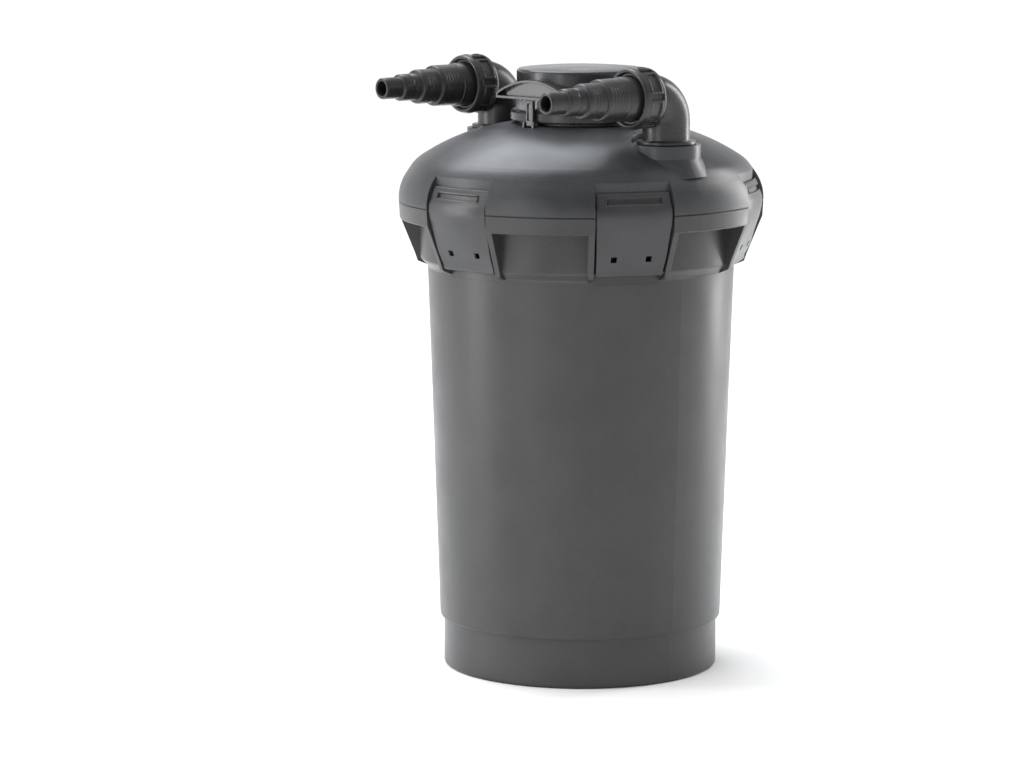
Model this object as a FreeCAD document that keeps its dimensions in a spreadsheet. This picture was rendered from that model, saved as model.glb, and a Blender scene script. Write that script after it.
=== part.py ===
import FreeCAD, Part
import math
import os

import Sketcher
from FreeCAD import Placement, Rotation, Vector

# Pressurised pond filter: a round tank with a domed lid held by six clamps, a
# twist-off ultraviolet head in the middle of the lid, and two swivelling elbows
# with union nuts and stepped hose tails.
# Frame: the origin is the middle of the tank's foot, +Z is up, the two ports
# stand on the X axis and both nozzles point along -Y. Millimetres and degrees.

SHEET = "Sizes"

# The sizes that others follow, each by an offset of its own: what stands above
# the wall follows the seam, what goes round the tank follows the rim, and what
# fits a bore, a collar or a sleeve follows that.
SEAM_HEIGHT = 438
RIM_RADIUS = 170
SOCKET_RADIUS = 52
PORT_BORE = 19.3
COLLAR_RADIUS = 23.9
NECK_RADIUS = 20.2
SLEEVE_RADIUS = 16

# Every size that can be set by itself: (name, value, what it is).
TABLE = [
    # tank
    ("foot_radius", RIM_RADIUS - 41.5, "outside of the plain band at the foot"),
    ("foot_height", 47, "top of the plain band"),
    ("tank_low_radius", RIM_RADIUS - 37.8, "outside of the tapered wall where it starts"),
    ("tank_high_radius", RIM_RADIUS - 27, "outside of the tapered wall where it ends"),
    ("tank_neck_height", SEAM_HEIGHT - 60, "where the tapered wall ends"),
    ("tank_wall", 4, "wall of the tank"),
    ("tank_floor", 5, "floor of the tank"),
    ("collar_radius", RIM_RADIUS - 20, "outside of the wall between the clamps"),
    ("collar_height", SEAM_HEIGHT - 53, "bottom of that wall's straight part"),
    ("band_bottom", SEAM_HEIGHT - 16, "underside of the rim band"),
    ("band_radius", RIM_RADIUS, "outside of the rim band and of the lid"),
    ("seam_height", SEAM_HEIGHT, "where the lid meets the tank"),
    ("foot_round", 3, "round at the foot's edge"),
    # clamps
    ("clamp_count", 6, "clamps around the rim"),
    ("clamp_start", -83, "direction of the first clamp"),
    ("clamp_half", 12.2, "half the angle that a clamp covers"),
    ("clamp_gap", 0.5, "angle left between a clamp and its bay"),
    ("clamp_wall", 3, "thickness of a clamp"),
    ("clamp_face_radius", RIM_RADIUS - 1.3, "outside of a clamp at the seam"),
    ("clamp_top", SEAM_HEIGHT + 22, "top edge of a clamp"),
    ("rib_angle", 1.9, "angle that a bay's side rib covers"),
    ("pivot_radius", RIM_RADIUS - 23.4, "clamp pivot from the middle"),
    ("pivot_height", SEAM_HEIGHT - 52.5, "clamp pivot from the floor"),
    ("knuckle_radius", 3, "round bottom of a clamp"),
    ("trunnion_radius", 1.8, "pivot stub of a clamp"),
    ("trunnion_play", 0.12, "play of a stub in its socket"),
    ("trunnion_reach", 4.4, "how far a stub reaches past the clamp's side"),
    ("hook_gap", 0.35, "gap between the clamp's hook and the lid's ledge"),
    ("ledge_inner", RIM_RADIUS - 10.5, "inside of the ledge that the hook holds"),
    ("ledge_outer", RIM_RADIUS - 4.7, "outside of that ledge"),
    ("ledge_rise", 9.4, "ledge's inner edge above the seam"),
    ("ledge_drop", 1.55, "fall of the ledge to its outer edge"),
    ("square_hole", 5, "side of a clamp's square holes"),
    ("square_hole_spread", 16, "square holes from the clamp's middle"),
    ("square_hole_height", SEAM_HEIGHT - 39, "square holes from the floor"),
    # seal
    ("seal_radius", RIM_RADIUS - 23.6, "middle of the seal"),
    ("seal_section", 4.4, "thickness of the seal"),
    ("seal_groove_depth", 10, "depth of the seal's groove"),
    ("tongue_play", 0.5, "play of the lid's tongue in the groove"),
    # lid
    ("lid_wall", 4, "wall of the lid"),
    ("lid_brim", SEAM_HEIGHT + 15.1, "corner between the rim and the shoulder"),
    ("brim_round", 40, "round between the rim and the shoulder"),
    ("shoulder_radius", RIM_RADIUS - 15.3, "corner between the shoulder and the dome"),
    ("shoulder_height", SEAM_HEIGHT + 37.6, "height of that corner"),
    ("shoulder_round", 34, "round between the shoulder and the dome"),
    ("dome_foot_radius", RIM_RADIUS - 22, "where the dome starts"),
    ("dome_foot_height", SEAM_HEIGHT + 42, "height of that place"),
    ("dome_curve", 196, "radius of the dome's arc"),
    ("dome_top_radius", SOCKET_RADIUS + 14, "where the dome ends"),
    ("dome_top", SEAM_HEIGHT + 72, "top of the dome"),
    # head socket in the lid
    ("socket_radius", SOCKET_RADIUS, "bore of the socket for the head"),
    ("socket_wall", 6, "wall of the socket"),
    ("socket_top", SEAM_HEIGHT + 74.8, "top of the socket"),
    ("socket_lip_radius", SOCKET_RADIUS - 3, "bore of the lip that the lugs pass under"),
    ("socket_lip_bottom", SEAM_HEIGHT + 58, "underside of the lip"),
    ("socket_lip_thick", 4, "thickness of the lip"),
    ("lug_half", 13, "half the angle of a bayonet lug"),
    ("lug_twist", 30, "turn that frees the head"),
    # ports
    ("port_offset", 120, "port from the middle of the lid"),
    ("port_radius", PORT_BORE + 12.3, "outside of a port boss"),
    ("port_top", SEAM_HEIGHT + 60, "top of a port boss"),
    ("port_bottom", SEAM_HEIGHT + 32, "underside of a port boss"),
    ("skirt_rise", 16, "height of the sloped skirt round a port boss"),
    ("skirt_slope", 30, "lean of that skirt from upright"),
    ("port_bore", PORT_BORE, "radius of a port's bore"),
    # elbows
    ("elbow_play", 0.1, "play of an elbow in its port"),
    ("elbow_radius", PORT_BORE + 2.2, "outside of an elbow"),
    ("elbow_bore", PORT_BORE - 3.8, "bore of an elbow"),
    ("elbow_foot_radius", PORT_BORE + 7.7, "foot flange of an elbow"),
    ("elbow_foot_thick", 3, "thickness of that flange"),
    ("elbow_lift", 0.5, "gap under that flange"),
    ("elbow_bend", 22, "bend radius of an elbow"),
    ("nozzle_height", SEAM_HEIGHT + 103, "height of the nozzles"),
    ("elbow_end", 36, "end face of an elbow from its axis"),
    ("elbow_bottom", SEAM_HEIGHT + 26, "bottom of an elbow's spigot"),
    ("elbow_collar_radius", COLLAR_RADIUS, "threaded collar of an elbow"),
    ("elbow_collar_length", 12, "length of that collar"),
    ("ring_groove_depth", 2.3, "depth of the ring grooves"),
    ("elbow_seal_height", SEAM_HEIGHT + 48, "middle of the elbow's seal"),
    ("elbow_seal_section", 2.4, "thickness of the elbow's seal"),
    ("retainer_height", SEAM_HEIGHT + 30.5, "middle of the retaining ring"),
    ("retainer_thick", 1.8, "thickness of the retaining ring"),
    ("retainer_radius", PORT_BORE + 3.3, "outside of the retaining ring"),
    # hose tails, measured along the nozzle from the elbow's axis
    ("gasket_thick", 1.5, "thickness of the gasket"),
    ("tail_flange_radius", COLLAR_RADIUS - 1.6, "flange of a hose tail"),
    ("tail_flange_thick", 3.5, "thickness of that flange"),
    ("tail_neck_radius", NECK_RADIUS, "plain neck of a hose tail"),
    ("tail_neck_end", 58, "end of the neck"),
    ("step_one_radius", 19, "step for a 38 mm hose"),
    ("step_one_end", 83, "end of that step"),
    ("step_two_radius", 16, "step for a 32 mm hose"),
    ("step_two_end", 103, "end of that step"),
    ("step_three_radius", 12.5, "step for a 25 mm hose"),
    ("step_three_end", 123, "end of that step"),
    ("step_four_radius", 10, "step for a 20 mm hose"),
    ("step_four_end", 142, "tip of a hose tail"),
    ("tail_wall", 3, "wall of a hose tail"),
    ("tail_taper", 4, "length of the slope between steps"),
    # union nuts
    ("nut_radius", COLLAR_RADIUS + 3.6, "outside of a union nut over its pads"),
    ("nut_start", 23, "inner end of a nut from the elbow's axis"),
    ("nut_end", 47.5, "outer end of a nut"),
    ("nut_thread_radius", COLLAR_RADIUS + 0.3, "bore over the elbow's collar"),
    ("nut_hole_radius", NECK_RADIUS + 0.4, "hole that the tail's neck passes"),
    ("nut_shoulder_thick", 3, "shoulder that pulls the tail in"),
    ("nut_mouth_radius", COLLAR_RADIUS + 0.6, "recess at a nut's mouth"),
    ("nut_pads", 6, "grip pads around a nut"),
    ("nut_slot_width", 2.4, "slot between two pads"),
    ("nut_slot_depth", 1.4, "depth of that slot"),
    ("nut_lip", 3.5, "plain lip at a nut's mouth"),
    ("nut_travel", 9, "how far a nut backs off"),
    # head
    ("flange_radius", SOCKET_RADIUS + 13.5, "rim of the head's base"),
    ("flange_bottom", SEAM_HEIGHT + 75, "underside of that rim"),
    ("flange_thick", 10, "height of that rim"),
    ("head_radius", SOCKET_RADIUS + 8, "outside of the head's cover"),
    ("head_wall", 2.5, "wall of the cover"),
    ("window_height", 11.5, "height of the clear ring"),
    ("head_side_top", SEAM_HEIGHT + 122.5, "corner of the cover's side and top"),
    ("head_top", SEAM_HEIGHT + 124, "top of the cover"),
    ("spigot_play", 0.4, "play of the head's spigot in the socket"),
    ("spigot_wall", 4, "wall of the spigot"),
    ("base_floor", SEAM_HEIGHT + 59, "underside of the base's floor"),
    ("base_floor_thick", 4, "thickness of that floor"),
    ("head_seal_section", 2.5, "thickness of the head's seal"),
    ("head_seal_height", SEAM_HEIGHT + 69.2, "middle of the head's seal"),
    ("ear_half_width", 44, "half the width of a grip ear"),
    ("ear_reach", SOCKET_RADIUS + 16.5, "how far an ear stands from the middle"),
    ("ear_side", 5, "height of an ear's ends"),
    ("ear_curve", 82, "radius of the arch over an ear"),
    ("ear_rim", 2.2, "rim around the recess of an ear"),
    ("ear_recess", 6.5, "depth of the recess in an ear's face"),
    # lamp
    ("sleeve_radius", SLEEVE_RADIUS, "outside of the quartz sleeve"),
    ("sleeve_wall", 1.2, "wall of the sleeve"),
    ("sleeve_bottom", 176, "closed end of the sleeve"),
    ("sleeve_top", SEAM_HEIGHT + 65, "open end of the sleeve"),
    ("stub_radius", SLEEVE_RADIUS + 6, "threaded stub that holds the sleeve"),
    ("stub_bottom", SEAM_HEIGHT + 46, "bottom of that stub"),
    ("lamp_leg_radius", 6, "radius of a lamp tube's leg"),
    ("lamp_leg_spread", 7, "leg from the sleeve's axis"),
    ("lamp_bottom", 200, "bottom of the lamp tube"),
    ("lamp_base_bottom", SEAM_HEIGHT + 24, "bottom of the lamp's base"),
    # catch
    ("catch_width", 8.4, "width of the catch"),
    ("catch_inner", SOCKET_RADIUS + 14.3, "inside of the catch"),
    ("catch_outer", SOCKET_RADIUS + 17.6, "outside of the catch"),
    ("catch_gap", 0.7, "gap between the catch and the ear"),
    ("catch_pivot_radius", SOCKET_RADIUS + 16.2, "catch pin from the middle"),
    ("catch_pivot_height", SEAM_HEIGHT + 74, "catch pin from the floor"),
    ("catch_pin_radius", 1.5, "radius of the catch pin"),
    ("catch_play", 0.08, "play of the catch on its pin"),
    ("catch_side_gap", 0.4, "gap between the catch and its lugs"),
    ("catch_lug_thick", 2.6, "thickness of a lug"),
    # cable gland
    ("gland_turn", 150, "direction of the cable gland"),
    ("gland_height", SEAM_HEIGHT + 107, "height of the cable gland"),
    ("gland_radius", 7, "body of the cable gland"),
    ("gland_bore", 3.6, "cable hole of the gland"),
    # inside
    ("tube_radius", SLEEVE_RADIUS + 11, "outside of the chamber tube"),
    ("tube_wall", 2, "wall of the chamber tube"),
    ("tube_top", SEAM_HEIGHT + 23, "top of the chamber tube"),
    ("grid_thick", 5, "thickness of the grids"),
    ("grid_play", 1, "gap around the grids"),
    ("foam_height", 90, "height of a foam ring"),
    ("foam_count", 4, "foam rings"),
    ("foam_play", 1.5, "gap around the foam"),
    ("duct_height", 17, "height of the outlet duct"),
    ("duct_half_width", 24, "half the width of the outlet duct"),
    ("duct_wall", 2.5, "wall of the outlet duct"),
]


class Size:
    """A number together with the sheet expression that it comes from."""

    def __init__(self, value, text=None):
        self.value = float(value)
        self.text = text or f"({self.value!r})"

    def _with(self, other, sign, value):
        return Size(value, f"({self.text} {sign} {size(other).text})")

    def __add__(self, other):
        return self._with(other, "+", self.value + size(other).value)

    def __sub__(self, other):
        return self._with(other, "-", self.value - size(other).value)

    def __mul__(self, other):
        return self._with(other, "*", self.value * size(other).value)

    def __truediv__(self, other):
        return self._with(other, "/", self.value / size(other).value)

    def __radd__(self, other):
        return size(other) + self

    def __rsub__(self, other):
        return size(other) - self

    def __rmul__(self, other):
        return size(other) * self

    def __neg__(self):
        return size(0) - self

    def trig(self, name):
        """The sine, cosine or tangent of this angle."""
        value = getattr(math, name)(math.radians(self.value))
        return Size(value, f"{name}({self.text} * 1 deg)")

    def root(self):
        return Size(math.sqrt(self.value), f"sqrt({self.text})")


def size(number):
    """A plain number as a Size; a Size as itself."""
    return number if isinstance(number, Size) else Size(number)


def write_sheet(doc):
    """Put the table into the document's sheet, and return its sizes by name."""
    sheet = doc.addObject("Spreadsheet::Sheet", SHEET)
    sizes = {}
    for row, (name, value, note) in enumerate(TABLE, start=1):
        sheet.set(f"A{row}", name)
        sheet.set(f"B{row}", str(round(value, 6)))
        sheet.set(f"C{row}", note)
        sheet.setAlias(f"B{row}", name)
        sizes[name] = Size(round(value, 6), f"{SHEET}.{name}")
    doc.recompute()
    return sizes


doc = FreeCAD.newDocument("pond_filter")
S = write_sheet(doc)
pieces = []


def bind(feature, path, amount):
    """Tie one property of a feature to its size."""
    if SHEET in size(amount).text:
        feature.setExpression(path, size(amount).text)


def locate(sketch, geometry, end, x, y):
    """Fix one end of a sketch element at x, y from the sketch's origin."""
    for kind, axis, place in (("DistanceX", -2, size(x)), ("DistanceY", -1, size(y))):
        if place.value == 0:
            sketch.addConstraint(Sketcher.Constraint("PointOnObject", geometry, end, axis))
            continue
        rule = Sketcher.Constraint(kind, -1, 1, geometry, end, place.value)
        bind(sketch, f"Constraints[{sketch.addConstraint(rule)}]", place)


def set_radius(sketch, geometry, radius):
    """Give an arc or circle of a sketch its radius."""
    rule = Sketcher.Constraint("Radius", geometry, size(radius).value)
    bind(sketch, f"Constraints[{sketch.addConstraint(rule)}]", radius)


def arc_between(centre, start, end):
    """The counter-clockwise arc about centre from start to end."""
    circle = Part.Circle(centre, Vector(0, 0, 1), (start - centre).Length)
    angles = [math.atan2(p.y - centre.y, p.x - centre.x) for p in (start, end)]
    if angles[1] < angles[0]:
        angles[1] += 2 * math.pi
    return Part.ArcOfCircle(circle, angles[0], angles[1])


def add_edge(sketch, start, end, radius):
    """Draw a line, or an arc with its centre left of travel (right if negative).

    Returns the element with the numbers of its start and end points."""
    if radius is None:
        return sketch.addGeometry(Part.LineSegment(start, end)), 1, 2
    chord = end - start
    left = Vector(-chord.y, chord.x, 0).normalize()
    bow = size(radius).value
    rise = math.sqrt(bow * bow - chord.Length**2 / 4)
    centre = (start + end) * 0.5 + left * math.copysign(rise, bow)
    if bow > 0:
        return sketch.addGeometry(arc_between(centre, start, end)), 1, 2
    return sketch.addGeometry(arc_between(centre, end, start)), 2, 1


def outline(sketch, corners, arcs=None):
    """Draw a closed outline and tie it to its sizes.

    A corner is (x, y) or (x, y, round). arcs gives the radius of the curved
    edges by the number of the corner that each starts from."""
    arcs = arcs or {}
    count = len(corners)
    at = [Vector(size(c[0]).value, size(c[1]).value, 0) for c in corners]
    arrive, leave = list(at), list(at)
    for i, corner in enumerate(corners):
        if len(corner) == 3:
            back = (at[i - 1] - at[i]).normalize()
            ahead = (at[(i + 1) % count] - at[i]).normalize()
            cut = size(corner[2]).value / math.tan(back.getAngle(ahead) / 2)
            arrive[i], leave[i] = at[i] + back * cut, at[i] + ahead * cut
    edges = [
        add_edge(sketch, leave[i], arrive[(i + 1) % count], arcs.get(i)) for i in range(count)
    ]
    for i, corner in enumerate(corners):
        before, _, before_end = edges[i - 1]
        after, after_start, _ = edges[i]
        if len(corner) == 2:
            joint = Sketcher.Constraint("Coincident", before, before_end, after, after_start)
            sketch.addConstraint(joint)
            locate(sketch, after, after_start, corner[0], corner[1])
        else:
            round_corner(sketch, corner, at[i], arrive[i], leave[i], edges[i - 1], edges[i])


def round_corner(sketch, corner, point, start, end, before, after):
    """Join two straight edges by a tangent arc, with the sharp corner kept as a point."""
    tip = sketch.addGeometry(Part.Point(point), True)
    locate(sketch, tip, 1, corner[0], corner[1])
    for edge in (before, after):
        sketch.addConstraint(Sketcher.Constraint("PointOnObject", tip, 1, edge[0]))
    left_turn = (start - point).cross(end - point).z < 0
    away = ((start + end) * 0.5 - point).normalize()
    radius = size(corner[2]).value
    half = (start - point).getAngle(end - point) / 2
    centre = point + away * (radius / math.sin(half))
    ends = (start, end) if left_turn else (end, start)
    arc = sketch.addGeometry(arc_between(centre, *ends))
    first, last = (1, 2) if left_turn else (2, 1)
    sketch.addConstraint(Sketcher.Constraint("Tangent", before[0], before[2], arc, first))
    sketch.addConstraint(Sketcher.Constraint("Tangent", arc, last, after[0], after[1]))
    set_radius(sketch, arc, corner[2])


class Piece:
    """One sub-part: a body whose features are added one after another."""

    def __init__(self, name):
        self.name = name
        self.body = doc.addObject("PartDesign::Body", name)
        self.body.Label = name
        pieces.append(self)

    def origin(self, role):
        return next(f for f in self.body.Origin.OriginFeatures if f.Role == role)

    def sketch(self, plane, offset=0, turn=0):
        """A sketch on an origin plane, moved along its normal or turned about +Z."""
        sketch = self.body.newObject("Sketcher::SketchObject", f"{self.name}_sketch")
        sketch.AttachmentSupport = [(self.origin(plane), "")]
        sketch.MapMode = "FlatFace"
        flat = plane == "XY_Plane"
        spin = Rotation(Vector(0, 0, 1) if flat else Vector(0, 1, 0), size(turn).value)
        base = spin.multVec(Vector(0, 0, size(offset).value))
        sketch.AttachmentOffset = Placement(base, spin)
        if flat or not size(turn).value:
            bind(sketch, "AttachmentOffset.Base.z", offset)
        else:
            bind(sketch, "AttachmentOffset.Base.x", size(offset) * size(turn).trig("sin"))
            bind(sketch, "AttachmentOffset.Base.z", size(offset) * size(turn).trig("cos"))
        if size(turn).value:
            bind(sketch, "AttachmentOffset.Rotation.Angle", size(turn) * Size(1, "1 deg"))
        return sketch

    def turned(self, kind, corners, angle, turn, arcs):
        sketch = self.sketch("XZ_Plane", turn=turn)
        outline(sketch, corners, arcs)
        feature = self.body.newObject(f"PartDesign::{kind}", f"{self.name}_{kind.lower()}")
        feature.Profile = sketch
        feature.ReferenceAxis = (sketch, ["V_Axis"])
        feature.Angle = size(angle).value
        feature.Midplane = size(angle).value < 360
        bind(feature, "Angle", angle)
        return feature

    def revolve(self, corners, angle=360, turn=0, arcs=None):
        """Turn an outline of (radius, height) about Z, centred on the turned XZ plane."""
        return self.turned("Revolution", corners, angle, turn, arcs)

    def groove(self, corners, angle=360, turn=0, arcs=None):
        """Cut what revolve would add."""
        return self.turned("Groove", corners, angle, turn, arcs)

    def push(self, kind, sketch, length, both_ways):
        feature = self.body.newObject(f"PartDesign::{kind}", f"{self.name}_{kind.lower()}")
        feature.Profile = sketch
        feature.SideType = "Symmetric" if both_ways else "One side"
        feature.Length = size(length).value
        feature.Reversed = kind == "Pocket" and not both_ways
        bind(feature, "Length", length)
        return feature

    def pad(
        self, corners, length, plane="XY_Plane", offset=0, turn=0, both_ways=False, arcs=None
    ):
        """Add an outline's prism along the plane's normal."""
        sketch = self.sketch(plane, offset, turn)
        outline(sketch, corners, arcs)
        return self.push("Pad", sketch, length, both_ways)

    def pocket(
        self, corners, length, plane="XY_Plane", offset=0, turn=0, both_ways=False, arcs=None
    ):
        """Cut an outline's prism along the plane's normal."""
        sketch = self.sketch(plane, offset, turn)
        outline(sketch, corners, arcs)
        return self.push("Pocket", sketch, length, both_ways)

    def round(self, kind, x, y, radius, length, plane="XY_Plane", offset=0, turn=0, both_ways=False):
        """Add (Pad) or cut (Pocket) a cylinder along the plane's normal."""
        sketch = self.sketch(plane, offset, turn)
        centre = Vector(size(x).value, size(y).value, 0)
        circle = Part.Circle(centre, Vector(0, 0, 1), size(radius).value)
        ring = sketch.addGeometry(circle)
        locate(sketch, ring, 3, x, y)
        set_radius(sketch, ring, radius)
        return self.push(kind, sketch, length, both_ways)

    def repeat(self, features, count):
        """Repeat features evenly about Z."""
        pattern = self.body.newObject("PartDesign::PolarPattern", f"{self.name}_pattern")
        pattern.Originals = features
        pattern.Axis = (self.origin("Z_Axis"), [""])
        pattern.Angle = 360
        pattern.Occurrences = int(size(count).value)
        bind(pattern, "Occurrences", count)
        self.body.Tip = pattern
        return pattern

    def place(self, x=0, y=0, z=0, axis=Vector(0, 0, 1), angle=0):
        """Put the finished piece where it belongs."""
        base = Vector(size(x).value, size(y).value, size(z).value)
        self.body.Placement = Placement(base, Rotation(axis, size(angle).value))
        for name, amount in (("x", x), ("y", y), ("z", z)):
            bind(self.body, f"Placement.Base.{name}", amount)
        bind(self.body, "Placement.Rotation.Angle", size(angle) * Size(1, "1 deg"))


def ring(x_inner, x_outer, low, high):
    """The four corners of a plain ring's section."""
    return [(x_inner, low), (x_outer, low), (x_outer, high), (x_inner, high)]


def box(x0, x1, y0, y1):
    """The four corners of a rectangle."""
    return [(x0, y0), (x1, y0), (x1, y1), (x0, y1)]


# Sizes that several pieces share.
bay_half = S["clamp_half"] + S["clamp_gap"]
rib_half = bay_half + S["rib_angle"]
tank_inner_low = S["tank_low_radius"] - S["tank_wall"]
tank_inner_high = S["tank_high_radius"] - S["tank_wall"]
ledge_top = S["seam_height"] + S["ledge_rise"]
ledge_low = ledge_top - S["ledge_drop"]
groove_floor = S["seam_height"] - S["seal_groove_depth"]
groove_inner = S["seal_radius"] - S["seal_section"] / 2
groove_outer = S["seal_radius"] + S["seal_section"] / 2
bay_half_width = S["pivot_radius"] * bay_half.trig("tan")
clamp_half_width = S["pivot_radius"] * S["clamp_half"].trig("tan")
trunnion_end = clamp_half_width + S["trunnion_reach"]
window_bottom = S["flange_bottom"] + S["flange_thick"]
window_top = window_bottom + S["window_height"]
catch_top = window_top - S["catch_gap"]
spigot_radius = S["socket_radius"] - S["spigot_play"]
lug_spigot_radius = S["socket_lip_radius"] - S["spigot_play"]
upstand_radius = S["head_radius"] - 3.5
grid_bottom = S["foot_height"]
foam_bottom = grid_bottom + S["grid_thick"]
foam_top = foam_bottom + S["foam_height"] * S["foam_count"]
chamber_hole = S["tube_radius"] + S["grid_play"]
duct_top = S["elbow_bottom"] - 2
duct_low = duct_top - S["duct_height"]
# The wall's inner radius grows with height, so what lies inside is sized at its own bottom.
wall_slope = (tank_inner_high - tank_inner_low) / (S["tank_neck_height"] - S["foot_height"])


def wall_inside(height):
    """Inner radius of the tapered wall at a height."""
    return tank_inner_low + wall_slope * (height - S["foot_height"])


def make_tank():
    tank = Piece("tank")
    tank.revolve(
        [
            (0, 0),
            (S["foot_radius"], 0, S["foot_round"]),
            (S["foot_radius"], S["foot_height"] - 1),
            (S["tank_low_radius"] - 0.8, S["foot_height"] - 1, 0.6),
            (S["tank_low_radius"], S["foot_height"] + 0.6),
            (S["tank_high_radius"], S["tank_neck_height"], 4),
            (S["collar_radius"], S["collar_height"], 3),
            (S["collar_radius"], S["band_bottom"], 1.5),
            (S["band_radius"] - 1, S["band_bottom"], 1.2),
            (S["band_radius"], S["seam_height"] - 0.8),
            (S["band_radius"] - 0.8, S["seam_height"]),
            (groove_outer, S["seam_height"]),
            (groove_outer, groove_floor),
            (groove_inner, groove_floor),
            (groove_inner, S["seam_height"]),
            (tank_inner_high, S["seam_height"]),
            (tank_inner_high, S["tank_neck_height"]),
            (tank_inner_low, S["foot_height"]),
            (S["foot_radius"] - S["tank_wall"], S["foot_height"]),
            (S["foot_radius"] - S["tank_wall"], S["tank_floor"], 3),
            (0, S["tank_floor"]),
        ]
    )
    rib = tank.revolve(
        [
            (tank_inner_high + 1, S["tank_neck_height"] - 2),
            (S["collar_radius"] + 2.5, S["tank_neck_height"] + 3, 2),
            (S["collar_radius"] + 5, S["pivot_height"] + 3, 3),
            (S["band_radius"] - 1.5, S["band_bottom"]),
            (S["band_radius"] - 1.5, S["band_bottom"] + 2),
            (tank_inner_high + 1, S["band_bottom"] + 2),
        ],
        angle=rib_half * 2,
        turn=S["clamp_start"],
    )
    tank.repeat([rib], S["clamp_count"])
    bay = tank.groove(
        [
            (S["tank_high_radius"] - 0.2, S["tank_neck_height"] - 3),
            (S["band_radius"] + 10, S["tank_neck_height"] - 3),
            (S["band_radius"] + 10, S["seam_height"] + 1),
            (S["ledge_outer"], S["seam_height"] + 1),
            (S["ledge_outer"], S["band_bottom"] + 7.5),
            (S["ledge_inner"], S["band_bottom"] - 1),
            (S["ledge_inner"], S["band_bottom"] - 1 - 0.01),
            (S["tank_high_radius"] - 0.2, S["band_bottom"] - 1 - 0.01),
        ],
        angle=bay_half * 2,
        turn=S["clamp_start"],
    )
    tank.repeat([bay], S["clamp_count"])
    socket = tank.round(
        "Pocket",
        S["pivot_radius"],
        S["pivot_height"],
        S["trunnion_radius"] + S["trunnion_play"],
        (trunnion_end + 0.6) * 2,
        plane="XZ_Plane",
        turn=S["clamp_start"],
        both_ways=True,
    )
    tank.repeat([socket], S["clamp_count"])


def make_lid_seal():
    seal = Piece("lid_seal")
    torus_section(seal, S["seal_radius"], groove_floor + S["seal_section"] / 2, S["seal_section"])


def torus_section(piece, radius, height, section):
    """A round-section ring about Z."""
    sketch = piece.sketch("XZ_Plane")
    centre = Vector(size(radius).value, size(height).value, 0)
    circle = sketch.addGeometry(Part.Circle(centre, Vector(0, 0, 1), size(section).value / 2))
    locate(sketch, circle, 3, radius, height)
    set_radius(sketch, circle, size(section) / 2)
    feature = piece.body.newObject("PartDesign::Revolution", f"{piece.name}_ring")
    feature.Profile = sketch
    feature.ReferenceAxis = (sketch, ["V_Axis"])
    feature.Angle = 360


def make_clamp(number):
    """A clamp, drawn with its bay on +X and then turned to its place."""
    clamp = Piece(f"clamp_{number}")
    face = S["clamp_face_radius"]
    inside = face - S["clamp_wall"]
    foot_radius = S["pivot_radius"] + S["knuckle_radius"]
    hook_low = ledge_top + S["hook_gap"]
    clamp.revolve(
        [
            (foot_radius, S["pivot_height"] + 1),
            (face - 4.2, S["band_bottom"] - 3, 8),
            (face, S["band_bottom"] + 5, 6),
            (face, S["clamp_top"] - 14, 30),
            (face - 2.2, S["clamp_top"], 1.2),
            (face - 2.2 - S["clamp_wall"], S["clamp_top"], 0.6),
            (inside - 1.8, ledge_top + 4),
            (S["ledge_inner"] + 0.6, ledge_top + 3.4, 0.6),
            (S["ledge_inner"] + 0.6, hook_low),
            (inside, hook_low - S["ledge_drop"]),
            (inside, S["band_bottom"] + 6, 5),
            (face - 4.2 - S["clamp_wall"], S["band_bottom"] - 3.5, 6),
            (foot_radius - S["clamp_wall"] - 0.6, S["pivot_height"] + 1),
        ],
        angle=S["clamp_half"] * 2,
    )
    knuckle = S["knuckle_radius"]
    across = {"plane": "XZ_Plane", "both_ways": True}
    where = (S["pivot_radius"], S["pivot_height"])
    clamp.round("Pad", *where, knuckle, clamp_half_width * 2, **across)
    clamp.round("Pad", *where, S["trunnion_radius"], trunnion_end * 2, **across)
    clamp.groove(
        [
            (face - 1.4, S["clamp_top"] - 11),
            (face + 5, S["clamp_top"] - 11),
            (face + 5, S["clamp_top"] - 4),
            (face - 3, S["clamp_top"] - 4),
        ],
        angle=S["clamp_half"] * 1.45,
    )
    for side in (-1, 1):
        middle = S["square_hole_spread"] * side
        half = S["square_hole"] / 2
        low = S["square_hole_height"] - half
        clamp.pocket(
            box(middle - half, middle + half, low, low + S["square_hole"]),
            S["band_radius"] - S["pivot_radius"],
            plane="YZ_Plane",
            offset=S["pivot_radius"],
        )
    step = size(360) / S["clamp_count"]
    clamp.place(angle=S["clamp_start"] + step * (number - 1))


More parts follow.
